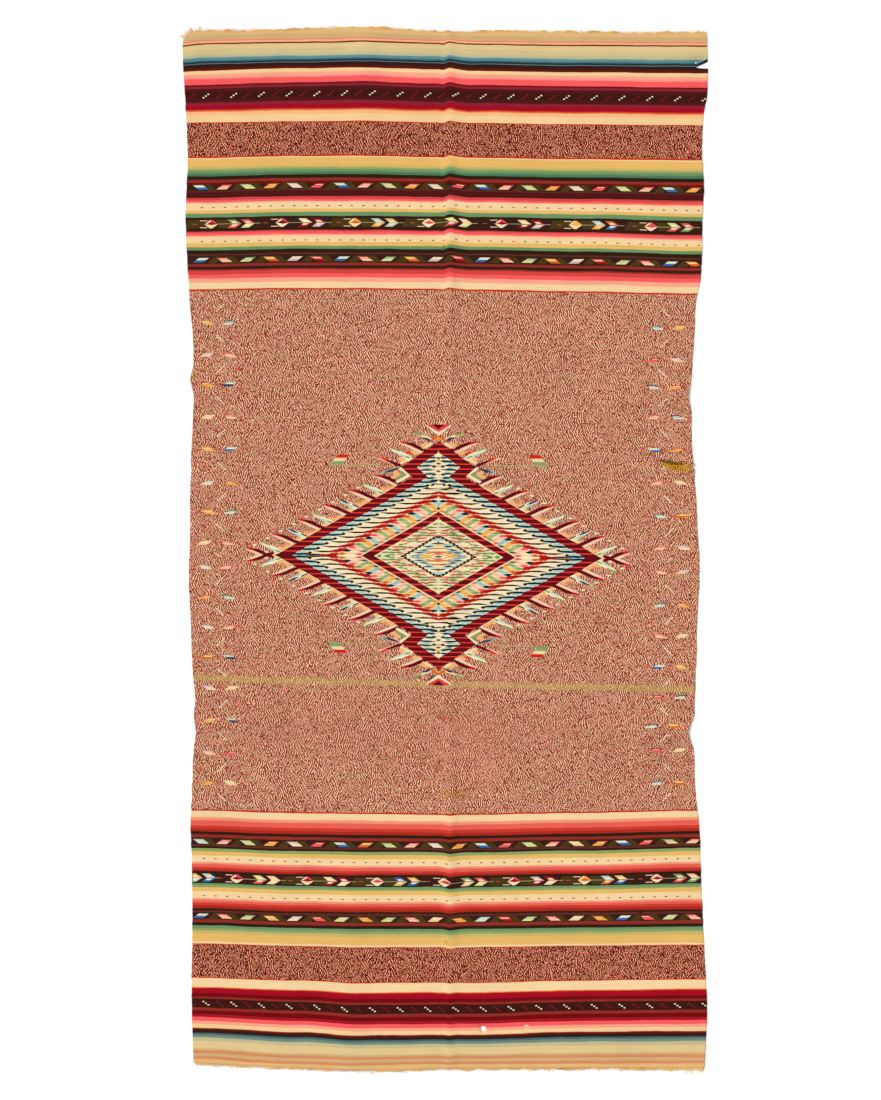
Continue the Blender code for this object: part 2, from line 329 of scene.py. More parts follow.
class Chart:
    """The woven figures, as flat shapes in mm on the rows of weft, later ones over earlier ones."""

    def __init__(self):
        self.shapes = []

    def shape(self, yarn, corners):
        """One figure, unless it has no width there."""
        if abs(turned_area(corners)) > SMALLEST_FIGURE:
            self.shapes.append((yarn, corners))

    def slanted(self, yarn, left, bottom, length, height, shift):
        """A figure with level top and bottom edges and slanted ends."""
        right = left + length
        top = bottom + height
        self.shape(yarn, [(left, bottom), (right, bottom), (right + shift, top), (left + shift, top)])

    def level(self, yarn, left, middle, length, height):
        """A bar with square ends, from its left end and the height of its middle."""
        self.slanted(yarn, left, middle - height / 2, length, height, 0)

    def moved(self, yarn, across, along, corners):
        """A figure whose corners are counted from a place."""
        self.shape(yarn, [(across + x, along + y) for x, y in corners])


# Yarns of the small figures: the upper and the lower half of each.
PAIRS = {
    "blue": ("pale sky", "bright blue"), "pink": ("rose", "blush"), "green": ("pale leaf", "lime"),
    "leaf": ("leaf", "lime"), "orange": ("flame", "amber"), "gold": ("amber", "flame"),
    "lilac": ("lilac", "bone"), "bone": ("bone", "lilac"), "red": ("red", "coral"),
    "coral": ("coral", "red"), "yellow": ("amber", "gold"), "cream": ("pale cream", "cream"),
    "sky": ("sky", "pale sky"), "teal": ("teal blue", "pale sky"), "flame": ("orange red", "amber"),
    "deep blue": ("sky", "navy"), "grey pink": ("lilac", "blush"), "night": ("navy", "pale sky"),
    "crimson": ("crimson", "coral"), "leaf cream": ("leaf", "cream"),
}
LOZENGE_LENGTH = 22.0
LOZENGE_SHIFT = 13.0
LOZENGE_HEIGHT = 9.8
GLINT_INSET = 3
GLINT_RISE = 0.1
GLINT_HEIGHT = 0.16


def lozenge(chart, pair, across, weft_along, falls, length=LOZENGE_LENGTH, height=LOZENGE_HEIGHT,
            shift=LOZENGE_SHIFT):
    """A slanted figure of two yarns; one that falls leans from its upper left to its lower right."""
    lean = -shift if falls else shift
    upper, lower = PAIRS[pair]
    left = across - length / 2
    chart.slanted(lower, left - lean / 2, weft_along - height / 2, length, height / 2, lean / 2)
    chart.slanted(upper, left, weft_along, length, height / 2, lean / 2)
    chart.slanted("ivory", left + lean * GLINT_RISE + GLINT_INSET, weft_along + height * GLINT_RISE,
                  length - 2 * GLINT_INSET, height * GLINT_HEIGHT, lean * GLINT_HEIGHT)


LOZENGE_START = -539
LOZENGE_STEP = 51.6
SIX = "blue, pink, green, orange, lilac, red, "
LOZENGE_ROWS = table(
    "weft_along falls pairs",
    (797.5, True, SIX * 3 + "green, pink, blue, orange"),
    (636.8, False, "blue, pink, leaf, gold, bone, coral, " * 3 + "leaf, pink, blue, gold"),
    (-643.5, True, "sky, pink, green, orange, lilac, red, blue, gold, leaf, pink, lilac, orange, blue, "
                   "red, green, pink, cream, orange, blue, red, leaf cream, pink"),
    (-807.5, False, "blue, pink, leaf, yellow, lilac, red, green, orange, leaf, pink, cream, orange, "
                    "sky, coral, leaf, pink, cream, orange, blue, red, green, pink"),
)


def draw_lozenge_rows(chart):
    """The four borders of slanted figures."""
    for row in LOZENGE_ROWS:
        for i, pair in enumerate(row.pairs.split(", ")):
            falls = row.falls == (i % 2 == 0)
            lozenge(chart, pair, LOZENGE_START + i * LOZENGE_STEP, row.weft_along, falls)


DASH_ROWS = table(
    "weft_along first count",
    (753.5, -537, 44), (678.5, -537, 44), (-682, -532, 43), (-763.5, -532, 43),
)
DASH_STEP = 25.4
DASH_LENGTH = 5.6
DASH_HEIGHT = 2.2


def draw_dashes(chart):
    """Rows of small dashes in the cream bands, green and red by turns."""
    for row in DASH_ROWS:
        for i in range(row.count):
            yarn = "fleck green" if i % 2 == 0 else "red thread"
            left = row.first + i * DASH_STEP - DASH_LENGTH / 2
            chart.level(yarn, left, row.weft_along, DASH_LENGTH, DASH_HEIGHT)


ARROW_COLUMNS = "across diamond first_vane second_vane"
UPPER_ARROWS = table(
    ARROW_COLUMNS,
    (-516, ("rose", "blush", "red"), ("leaf", "coral"), ("rose", "lime")),
    (-360, ("rose", "bone", "maroon"), ("bone", "crimson"), ("crimson", "lilac")),
    (-200, ("amber", "gold", "flame"), ("sky", "amber"), ("gold", "sky")),
    (-38, ("blush", "bone", "rose"), ("lime", "rose"), ("blush", "lime")),
    (122, ("rose", "blush", "crimson"), ("pale cream", "crimson"), ("crimson", "lilac")),
    (285, ("amber", "gold", "amber"), ("sky", "amber"), ("flame", "bright blue")),
    (451, ("rose", "blush", "rose"), ("lime", "rose"), ("rose", "leaf")),
)
LOWER_ARROWS = table(
    ARROW_COLUMNS,
    (-602, None, ("amber", "sky"), ("sky", "bright blue")),
    (-460, ("rose", "blush", "crimson"), ("lime", "rose"), ("blush", "pale cream")),
    (-305, ("rose", "blush", "red"), ("pale cream", "crimson"), ("crimson", "bone")),
    (-151, ("blush", "bone", "rose"), ("bright blue", "gold"), ("amber", "bright blue")),
    (-3, ("blush", "blush", "rose"), ("leaf", "blush"), ("rose", "lime")),
    (150, ("rose", "blush", "crimson"), ("lilac", "crimson"), ("crimson", "pale cream")),
    (305, ("amber", "gold", "flame"), ("sky", "flame"), ("gold", "bright blue")),
    (464, ("blush", "rose", "crimson"), ("leaf", "rose"), ("blush", "leaf")),
)
ARROW_BORDERS = ((UPPER_ARROWS, 717.0), (LOWER_ARROWS, -724))
DIAMOND_REACH = 15.0
DIAMOND_TOP = 9.2
SHAFT_HEIGHT = 1.2
VANE_STARTS = (35.0, 65.0)
VANE_LENGTH = 20.0
VANE_SHIFT = 11.0
VANE_HEIGHT = 9.0


def draw_diamond(chart, yarns, x, b):
    """An arrow's tail: whiskers, a diamond of two yarns with pale edges and a heart, and the shaft."""
    upper, lower, heart = yarns
    for side in (1, -1):
        chart.level("shell", x - 25, b + side * 7.6, 16, 1.6)
    chart.level("side red", x - 41, b, 9, 1.4)
    reach = DIAMOND_REACH
    top = DIAMOND_TOP
    chart.moved(upper, x, b, [(-reach, 0), (reach, 0), (2, top), (-4, top)])
    chart.moved(lower, x, b, [(-reach, 0), (-4, -top), (2, -top), (reach, 0)])
    chart.moved("ivory", x, b, [(-13, -1), (13, -1), (2, 1.5 - top), (-3, 1.5 - top)])
    chart.moved("ivory", x, b, [(-13, 1.5), (-3, top - 0.5), (-1, top - 3.2), (-10, 1)])
    chart.moved(heart, x, b, [(-11, 0), (0, 4.6), (reach, 0), (0, -2.6)])
    chart.level("pole", x + reach, b, 30, SHAFT_HEIGHT)


def draw_arrow(chart, arrow, b):
    """A diamond with a shaft, and two feathered points to its right."""
    if arrow.diamond:
        draw_diamond(chart, arrow.diamond, arrow.across, b)
    for vanes, start in zip((arrow.first_vane, arrow.second_vane), VANE_STARTS):
        foot = arrow.across + start + VANE_SHIFT
        for yarn, side in zip(vanes, (1, -1)):
            top = side * VANE_HEIGHT
            chart.moved(yarn, foot, b, [(0, 0), (VANE_LENGTH, 0), (VANE_LENGTH - VANE_SHIFT - 3, top),
                                        (-VANE_SHIFT, top)])
            chart.moved("ivory", foot, b, [(1, side * 1.6), (13, side * 1.6), (6, side * 5.2),
                                           (-3, side * 5.2)])
    chart.level("pole", foot + VANE_LENGTH, b, 12, SHAFT_HEIGHT)


def draw_arrows(chart):
    """The two borders of arrows."""
    for arrows, b in ARROW_BORDERS:
        for arrow in arrows:
            draw_arrow(chart, arrow, b)


GROUND_HEIGHT = 18.0
LOW_GROUND_HEIGHT = 14
LOW_GROUND_LENGTH = 20
LOW_GROUND_SHIFT = 14.0


def draw_grounds(chart):
    """Olive patches on the dark ground between the small figures of the borders."""
    for row in LOZENGE_ROWS:
        for i in range(1, len(row.pairs.split(", "))):
            left = LOZENGE_START + (i - 0.5) * LOZENGE_STEP - 11
            shift = LOW_GROUND_SHIFT if row.falls == (i % 2 == 0) else -LOW_GROUND_SHIFT
            bottom = row.weft_along - LOW_GROUND_HEIGHT / 2
            chart.slanted("olive", left, bottom, LOW_GROUND_LENGTH, LOW_GROUND_HEIGHT, shift)
    for arrows, b in ARROW_BORDERS:
        for i, arrow in enumerate(arrows):
            if i % 3 != 1:
                for start, length, shift in ((-58, 46, 8), (16, 26, -6)):
                    chart.slanted("olive", arrow.across + start, b - GROUND_HEIGHT / 2, length,
                                  GROUND_HEIGHT, shift)


FLECK_ROWS = table("weft_along climb", (997, 1), (-1001.5, -1))
FLECK_START = -558.5
FLECK_STEP = 30.5
FLECK_COUNT = 38
FLECK_WIDTH = 4.0
FLECK_HEIGHT = 2.6
FLECK_SPREAD = 5.4
FLECK_CLIMB = 3.7


def draw_flecks(chart):
    """Threes of small flecks, white and red by turns, in the dark bands near both ends."""
    for row in FLECK_ROWS:
        for i in range(FLECK_COUNT):
            yarn = "ivory" if i % 2 else "fleck red"
            x = FLECK_START + i * FLECK_STEP - FLECK_WIDTH / 2
            for step in (-1, 0, 1):
                middle = row.weft_along + row.climb * step * FLECK_CLIMB
                chart.level(yarn, x + step * FLECK_SPREAD, middle, FLECK_WIDTH, FLECK_HEIGHT)


SIDE_COLUMNS = "along outer inner shift"
LEFT_COLUMN = table(
    SIDE_COLUMNS,
    (502, "yellow", "teal", 0), (431, "grey pink", "pink", 0), (367, "flame", "deep blue", 0),
    (295, "cream", "pink", 2.5), (224, "yellow", "blue", 2.5), (150, "lilac", "flame", 2.7),
    (86, "yellow", "teal", 4.2), (18, "cream", "pink", -5.5), (-35, "lilac", "pink", -5),
    (-101, "flame", "teal", -2.2), (-167, "lilac", "pink", 1.8), (-233, "gold", "deep blue", 1),
    (-301, "lilac", "cream", 6), (-372, "yellow", "deep blue", 7.5), (-444, "grey pink", "crimson", 4.4),
    (-510, "orange", "cream", 3),
)
RIGHT_COLUMN = table(
    SIDE_COLUMNS,
    (491, "yellow", "teal", -1), (420, "grey pink", "crimson", -6.4), (360, "flame", "night", -9),
    (294, "night", "pink", -5), (222, "flame", "blue", -4.7), (150, "cream", "pink", 2),
    (77, "gold", "teal", 6.6), (7, "lilac", "pink", 9), (-46, "grey pink", "pink", 6.7),
    (-119, "flame", "teal", 7.4), (-187, "cream", "pink", 5.5), (-255, "yellow", "blue", 3),
    (-321, "night", "crimson", 3), (-385, "gold", "night", -11), (-438, "cream", "crimson", 0),
    (-510, "gold", "teal", 1),
)
COLUMN_LENGTH = 21.0
COLUMN_HEIGHT = 8.8
COLUMN_SHIFT = 12.0
SLANT_INWARD = 4.8
PALE_STITCH, RED_STITCH = table("length height across along", (4.2, 1.9, 3.6, 3.5), (3.4, 2.0, 3.4, 3.2))
MIDDLE_ROW = 7
RED_FLECK_REACH = 25
RED_SLANT_REACH = 36
UPPER_SLANT_REACH = 33
LOWER_SLANT_REACH = 31
LEFT_PLACES = (-526, -477)
RIGHT_PLACES = (513.5, 464)


def draw_dotted(chart, yarn, stitch, across, along, climb, count):
    """A short slanting row of single stitches."""
    for i in range(count):
        step = i - (count - 1) / 2
        x = across + step * stitch.across
        b = on_weft(x, along + climb * step * stitch.along)
        chart.level(yarn, x - stitch.length / 2, b, stitch.length, stitch.height)


def draw_side_column(chart, rows, outer, inner):
    """Pairs of slanted figures up one side of the field, with dotted slants between them."""
    outward = 1 if outer > inner else -1
    middle = (outer + inner) / 2
    for i, row in enumerate(rows):
        falls = (i % 2 == 0) == (outward < 0)
        for pair, x, leans in ((row.outer, outer, falls), (row.inner, inner, not falls)):
            x += row.shift
            lozenge(chart, pair, x, on_weft(x, row.along), leans, COLUMN_LENGTH, COLUMN_HEIGHT, COLUMN_SHIFT)
        for x in (middle, inner - outward * RED_FLECK_REACH, outer + outward * RED_FLECK_REACH):
            draw_red_fleck(chart, x + row.shift, row.along, i)
    slants = [rows[0].along + UPPER_SLANT_REACH]
    slants += [(above.along + below.along) / 2 for above, below in zip(rows, rows[1:])]
    slants.append(rows[-1].along - LOWER_SLANT_REACH)
    for i, along in enumerate(slants):
        falls = (i % 2 == 1) == (outward < 0)
        turn = (-1 if falls else 1) * (1 if i <= MIDDLE_ROW else -1)
        near = rows[max(i - 1, 0)].shift / 2 + rows[min(i, len(rows) - 1)].shift / 2
        count = 3 if i == MIDDLE_ROW + 1 else 5
        draw_side_slants(chart, middle - outward * SLANT_INWARD + near, along, turn, count)


def draw_red_fleck(chart, across, along, row):
    """Two or three uneven rows of red beside a slanted figure."""
    stray = math.sin(row * 2.7 + across)
    for drop, length in ((0.2, 10 + 2 * stray), (-2.6 + stray * 0.6, 5.5 - 1.5 * stray)):
        left = across - length / 2 + stray
        chart.slanted("fleck coral", left, on_weft(across, along) + drop - 0.9, length, 1.7, 0)


def draw_side_slants(chart, middle, along, turn, count):
    """One white dotted slant with a red one on each side."""
    draw_dotted(chart, "pale bone", PALE_STITCH, middle, along, turn, count)
    for x in (middle - RED_SLANT_REACH, middle + RED_SLANT_REACH):
        draw_dotted(chart, "fleck coral", RED_STITCH, x, along, turn, count - 1)


def draw_side_columns(chart):
    """The columns up both sides of the field, each with its outer and inner places."""
    draw_side_column(chart, LEFT_COLUMN, *LEFT_PLACES)
    draw_side_column(chart, RIGHT_COLUMN, *RIGHT_PLACES)


FLAGS = table(
    "across along leans upward pole_end",
    (-233, 200, 1, 1, -139), (202, 198, -1, 1, 108), (-238, -212, -1, -1, -132), (205, -222, 1, -1, 119),
)
FLAG_STRIPES = ("flag red", "pale cream", "leaf")
FLAG_LENGTH = 26.0
FLAG_STRIPE = 7.2
FLAG_LEAN = 5.0
FLAG_RISE = 1.5
FLAG_FOOT = 11
POLE_START = 34
POLE_HEIGHT = 2.2
POLE_END = 10


def draw_flags(chart):
    """Four small three-striped flags beside the medallion, each on a thin pole."""
    for flag in FLAGS:
        foot = on_weft(flag.across, flag.along) - flag.upward * FLAG_FOOT
        reach = math.copysign(1, flag.pole_end - flag.across)
        start = flag.across - reach * POLE_START
        low, high = sorted((start, flag.pole_end))
        chart.level("pole", low, foot, high - low, POLE_HEIGHT)
        chart.level("olive", start if reach > 0 else start - POLE_END, foot, POLE_END, POLE_HEIGHT)
        shift = flag.leans * FLAG_LEAN
        for i, yarn in enumerate(reversed(FLAG_STRIPES)):
            edge = foot + flag.upward * (FLAG_RISE + i * FLAG_STRIPE)
            left = flag.across - FLAG_LENGTH / 2 + flag.upward * (i - 1.5) * shift
            if flag.upward > 0:
                chart.slanted(yarn, left, edge, FLAG_LENGTH, FLAG_STRIPE, shift)
            else:
                chart.slanted(yarn, left - shift, edge - FLAG_STRIPE, FLAG_LENGTH, FLAG_STRIPE, shift)


# The medallion, in mm from its own middle: u runs outward across the cloth and v away from the
# middle row, the same in all four quarters. SLOPE is how far its sides run across for each mm of v.
MEDALLION_ACROSS = -16.5
MEDALLION_ALONG = -12.5
UPPER_STRETCH = 1.012
LOWER_STRETCH = 0.988
SLOPE = 1.71
CAP_START = 146.0
CAP_WIDEST = 197.0
CAP_SLOPE = 1.47
CAP_NECK_SLOPE = 1.12
ROW_PITCH = 10.8

RINGS = table(
    "name half_width cap_half_width pitch yarns",
    ("outer band", 358.6, 82.5, 10.8, (("maroon", 0.76), ("scarlet", 0.24))),
    ("sky", 321, 47.3, 10.8, (("sky", 0.2), ("ivory", 0.8))),
    ("cream", 288, 22, 10.8, (("ivory", 0.55), ("bone", 0.45))),
    ("blocks", 229, 0, 6.9, (("ivory", 0.55), ("blush", 0.45))),
    ("inner band", 169, 0, 13.0, (("maroon", 0.75), ("scarlet", 0.25))),
    ("leaf", 142, 0, 6.5, (("ivory", 0.45), ("pale green", 0.55))),
    ("inner cream", 97, 0, 13.0, (("ivory", 0.6), ("blush", 0.4))),
    ("inner sky", 76, 0, 13.0, (("ivory", 0.65), ("sky", 0.35))),
    ("amber", 50, 0, 8.0, (("gold", 0.55), ("ivory", 0.45))),
    ("heart", 17, 0, 9.0, (("ivory", 1.0),)),
)


class Medallion:
    """Places figures given for one quarter into all four."""

    def __init__(self, chart):
        self.chart = chart
        self.middle = on_weft(MEDALLION_ACROSS, MEDALLION_ALONG)

    def at(self, side, up, u, v):
        stretch = UPPER_STRETCH if up > 0 else LOWER_STRETCH
        return MEDALLION_ACROSS + side * u, self.middle + up * stretch * v

    def half(self, yarn, corners):
        """A figure across the middle, above and below."""
        for up in (1, -1):
            self.chart.shape(yarn, [self.at(1, up, u, v) for u, v in corners])

    def quarter(self, yarn, corners, root=(0.0, 0.0)):
        """A figure in each quarter, with its corners counted from a root."""
        for up in (1, -1):
            for side in (1, -1):
                self.chart.shape(yarn, [self.at(side, up, max(root[0] + u, 0.0), root[1] + v)
                                        for u, v in corners])

    def group(self, root, *shapes):
        """Several figures in each quarter from one root, each a yarn and its corners."""
        for yarn, *corners in shapes:
            self.quarter(yarn, corners, root)

    def lens(self, yarn, u, v, length, height, fall=0.0):
        """A thin figure pointed at both ends; with a fall its inner end lies lower."""
        self.quarter(yarn, [(length / 2, fall / 2), (length * 0.1, -height / 2), (-length / 2, -fall / 2),
                            (-length * 0.1, height / 2)], (u, v))


def half_width_at(ring, v):
    """Half the width of a ring's outer edge at a height above or below the medallion's middle."""
    main = ring.half_width - SLOPE * v
    if not ring.cap_half_width or v < CAP_START:
        return max(main, 0.0)
    if v >= CAP_WIDEST:
        cap = ring.cap_half_width - CAP_SLOPE * (v - CAP_WIDEST)
    else:
        cap = ring.cap_half_width - CAP_NECK_SLOPE * (CAP_WIDEST - v)
    return max(main, cap, 0.0)


def ring_reach(ring):
    """How far a ring reaches above the medallion's middle."""
    if ring.cap_half_width:
        return CAP_WIDEST + ring.cap_half_width / CAP_SLOPE
    return ring.half_width / SLOPE


def ring_corners(ring, low, high):
    """The heights of a row's corners, with those of the cap's neck and shoulders between."""
    corners = []
    if ring.cap_half_width:
        neck = ring.half_width - ring.cap_half_width + CAP_NECK_SLOPE * CAP_WIDEST
        corners = [neck / (SLOPE + CAP_NECK_SLOPE), CAP_WIDEST]
    return [low] + [corner for corner in corners if low < corner < high] + [high]


def draw_ring(figure, ring, inner):
    """One ring in rows of weft, outside the next ring inward."""
    reach = ring_reach(ring)
    for i in range(math.ceil(reach / ring.pitch)):
        low = i * ring.pitch
        for yarn, share in ring.yarns:
            high = min(low + share * ring.pitch, reach)
            heights = ring_corners(ring, low, high) if high > low else []
            for a, b in zip(heights, heights[1:]):
                draw_ring_slice(figure, yarn, ring, inner, a, b)
            low = high


def draw_ring_slice(figure, yarn, ring, inner, a, b):
    """A piece of a row, across the middle or on both sides of the next ring."""
    out_a, out_b = half_width_at(ring, a), half_width_at(ring, b)
    in_a = half_width_at(inner, a) if inner else 0.0
    in_b = half_width_at(inner, b) if inner else 0.0
    if in_a <= 0.5 and in_b <= 0.5:
        figure.half(yarn, [(-out_a, a), (out_a, a), (out_b, b), (-out_b, b)])
    else:
        figure.quarter(yarn, [(in_a, a), (out_a, a), (out_b, b), (in_b, b)])


NAVY_ROWS = 18
FIRST_NAVY_ROW = 3.0


def draw_outer_rows(figure):
    """Navy strokes from the outer band, each ending in a dark dot, then a dark line and a red stroke."""
    for i in range(NAVY_ROWS):
        v = i * ROW_PITCH + FIRST_NAVY_ROW
        edge = RINGS[1].half_width - SLOPE * v
        root = (edge, v)
        if edge > 36:
            figure.group(
                root,
                ("sky", (-1, 1.8), (-7, 6.4), (-24, 7.4), (-28, 3.8), (-14, 2.2)),
                ("pale blue", (-2, -1.4), (-12, -3.6), (-26, -1.8), (-29, 0.2), (-12, -1.6)),
                ("ink", (3, -1.7), (-9, -2.5), (-30, -0.6), (-33, 3.0), (-13, 2.3), (3, 1.7)),
                ("pitch", (-27, 2.6), (-33, -1.0), (-39, 2.8), (-33, 6.2)))
        if edge > 30:
            figure.group(root, ("wine line", (-19, -3.4), (-40, -7.0), (-66, -6.2), (-63, -3.2), (-38, -3.2)))
        if edge > 62:
            figure.group(
                root,
                ("red", (-54, -4.0), (-72, -6.6), (-91, -3.6), (-99, 1.0), (-76, 1.0)),
                ("orange red", (-76, 1.0), (-99, 1.0), (-94, 4.0), (-80, 3.6)))
    draw_cap_rows(figure)


CAP_ROWS = 7
CAP_ROW_PITCH = 8.9
FIRST_CAP_ROW = 164.0
CAP_EYES = (
    (0, 217, "olive"), (11, 211, "pitch"), (0, 205, "olive"), (9, 198, "pitch"), (0, 212, "amber"),
    (0, 199, "gold"), (0, 188, "pitch"), (10, 181, "ink"), (0, 175, "ivory"), (12, 168, "ink"),
    (13, 158, "pitch"), (26, 151, "pitch"),
)


def draw_cap_rows(figure):
    """Dark strokes in from the sides of the cap, with dark eyes up its middle."""
    for i in range(CAP_ROWS):
        v = FIRST_CAP_ROW + i * CAP_ROW_PITCH
        edge = half_width_at(RINGS[1], v)
        figure.group(
            (0.0, v),
            ("pale blue", (edge, 1), (edge * 0.6, 4.8), (edge * 0.3, 4.2), (edge * 0.6, 2)),
            ("ink", (edge, -1.8), (edge * 0.5, -1.6), (4, 1.0), (edge * 0.5, 2.2), (edge, 1.4)))
    for u, v, yarn in CAP_EYES:
        figure.lens(yarn, u, v, 12, 5.5)


BIRDS = table(
    "tail head body back",
    ("ink", "ink", "sky", "pale blue"), ("rose", "coral", "shell", "pale salmon"),
    ("leaf", "leaf", "pale leaf", "green"), ("flame", "flame", "gold", "amber"),
)
BLOCK_STEP = 6.93
BLOCK_START = 218.0
FIRST_BLOCK = 3.6


def draw_blocks(figure):
    """Small birds of yarn inside the red strokes: a short stroke, a pale slant and a longer stroke."""
    for i in range(-1, 17):
        bird = BIRDS[i % len(BIRDS)]
        v = FIRST_BLOCK + (i + 1) * BLOCK_STEP
        root = (BLOCK_START - SLOPE * v, v)
        if v > 14:
            figure.group(
                root,
                (bird.body, (9, 1.0), (-3, 5.0), (-13, 0.4), (-25, -8.4), (-32, -12.6), (-19, -15.6),
                 (-3, -5.2)),
                (bird.back, (0, -0.4), (-12, -4.4), (-27, -13.2), (-18, -11.0), (-8, -5.2)))
        figure.group(root, (bird.head, (12, -1.2), (2, 4.8), (-10, 1.4), (-2, -1.8)))
        if v > 17:
            figure.group(root, (bird.tail, (-6, -14.8), (-17, -11.8), (-33, -15.6), (-21, -18.2)))
    for v, yarn in ((4, "rose"), (10.5, "deep navy"), (17, "leaf")):
        figure.lens(yarn, 176 + SLOPE * 4 - SLOPE * v, v, 20, 3.6)
    figure.quarter("pale cream", [(174, 0), (169, 0), (1, 98.6), (4, 100.6)])


LEAF_SHARES = (0.24, 0.40, 0.56, 0.72, 0.90)
LEAF_YARNS = ("leaf", "deep leaf", "fleck green", "deep leaf", "ivory", "rose")
LEAF_ROWS = 12
LEAF_PITCH = 6.4
LEAF_START = 144
LEAF_WIDTH = 46
ROSE_ROWS = 4
ROSE_PITCH = 13.8
INNER_SLOPE = 1.66


def draw_leaf_ring(figure):
    """Broken green stitches round the inner cloth, and rose strokes inside them."""
    draw = random.Random(7)
    for i in range(LEAF_ROWS):
        v = 1.5 + i * LEAF_PITCH
        for share in LEAF_SHARES:
            u = LEAF_START - LEAF_WIDTH * share - SLOPE * v + draw.uniform(-4, 4)
            if u > 5:
                yarn = draw.choice(LEAF_YARNS)
                height = 3.0 if yarn == "fleck green" else 4.4
                stray = draw.uniform(-1.6, 1.6)
                figure.lens(yarn, u, v + stray, draw.uniform(14, 24), height, draw.uniform(-2, 3))
    for i in range(ROSE_ROWS):
        v = 5 + i * ROSE_PITCH
        figure.lens("rose", 91 - INNER_SLOPE * v, v, 22, 4.2, -2.0)
        figure.lens("bone", 74 - INNER_SLOPE * v + 2, v + 5.5, 12, 4.0, -1.0)


HEART_STEPS = 10
HEART_STEP = 4.7
HEART_STROKES = ((52, 2.2), (31, 14.5), (22, 22.0), (42, 8.6))
HEART_ARCS = ((29, 20, "navy"), (41, 9, "navy"), (17.5, 21, "flame"), (8.8, 28, "flame"), (5.4, 17, "rose"))


def draw_heart(figure):
    """The stepped dark line, blue strokes, orange arcs and green eye in the middle."""
    for i in range(HEART_STEPS):
        v = 1.2 + i * HEART_STEP
        u = 78 - INNER_SLOPE * v
        figure.quarter("pitch", [(6, -2.8), (8, -0.2), (-4, 3.4), (-8, 1.2)], (u, v))
        figure.quarter("pitch", [(-3, 3.2), (-7, 1.2), (-4, -2.2), (0, 0.2)], (u, v + 0.6))
    for u, v in HEART_STROKES:
        figure.lens("navy", u, v, 24, 4.0, -1.0)
        figure.lens("pale blue", u - 3, v - 3.6, 22, 4.0, -1.0)
    for v, half, yarn in HEART_ARCS:
        figure.half(yarn, [(-half, v - 2), (0, v - 0.8), (half, v - 2), (half * 0.5, v + 1.4), (0, v + 2.8),
                           (-half * 0.5, v + 1.4)])
    figure.lens("flame", 21, 7.4, 22, 3.4, -1.4)
    figure.half("deep leaf", [(-11, 0), (11, 0), (0, 3.6)])


DART_PITCH = 33.0
FIRST_DART = -5.0
PALE_DARTS = 5
DARK_DARTS = 6
IVORY_FLECKS = 9
SCARLET_FLECKS = 5


def draw_dark_dart(figure, root):
    """A maroon blade with a scarlet tip and a pale line under it."""
    figure.group(
        root,
        ("shell", (6, -1.0), (10, -5.4), (36, 7.0), (60, 18.4), (40, 13.8), (27, 8.8)),
        ("barb red", (26, 10.4), (40, 13.6), (58, 20.6), (46, 21.0), (31, 18.0)),
        ("maroon", (-5, -3.0), (9, 0.8), (29, 10.0), (42, 17.0), (36, 19.0), (24, 16.0), (8, 7.8), (-5, 3.2)))


NAVY_HEART = (
    ("navy", (15, 7.2), (28, 14.6), (44, 19.4), (40, 15.4), (26, 9.0)),
    ("pitch", (-5, -0.6), (4, 4.2), (13, 8.0), (11, 4.4), (2, 0.0)),
)
GREEN_TIP = (
    ("leaf", (22, 11.2), (46, 19.6), (38, 20.2), (28, 16.2)),
    ("leaf", (-2, -3.4), (3, 1.2), (12, 3.4), (10, -1.2)),
)


def draw_pale_dart(figure, root, marks):
    """A cream blade with a green tip, or with a navy heart."""
    figure.group(
        root,
        ("ivory", (-7, -6.0), (-3, 1), (16, 11.0), (46, 19.8), (38, 11.8), (20, 1.8), (8, -5.0)),
        ("sky", (6, -0.6), (18, 5.4), (38, 13.4), (30, 6.8), (16, 0.2)),
        *marks)


def draw_darts(figure):
    """Blades, peach wedges and a cream strip along the medallion's sides."""
    edge = RINGS[0].half_width
    for i in range(PALE_DARTS):
        v = FIRST_DART + (i + 1) * DART_PITCH
        root = (edge - SLOPE * v, v)
        figure.group(
            root,
            ("peach", (19, -1.2), (43, -8.4), (40, -13.8), (31, -16.4), (13, -5.6)),
            ("orange tan", (22, -2.0), (41, -8.2), (30, -10.6)),
            ("pale cream", (6, -3.4), (12, -5.4), (35, -18.4), (31, -18.4)),
            ("cream", (36, -20.6), (47, -19.6), (62, -25.6), (53, -29.8)),
            ("peach", (40, -20.2), (50, -20.0), (61, -24.6), (54, -25.4)))
        draw_pale_dart(figure, (root[0] + 36, v - 19.0), NAVY_HEART if i % 2 == 1 else GREEN_TIP)
    for i in range(DARK_DARTS):
        v = FIRST_DART + i * DART_PITCH
        draw_dark_dart(figure, (edge - SLOPE * v, v))
    for i in range(IVORY_FLECKS):
        v = 22 + i * 16.2
        figure.lens("ivory", 404 - 1.76 * (v - 22), v, 12, 4.4)
    for i in range(SCARLET_FLECKS):
        v = 23 + i * 35.2
        figure.lens("scarlet", 362 - 1.55 * (v - 58.3), v, 10, 4.0)


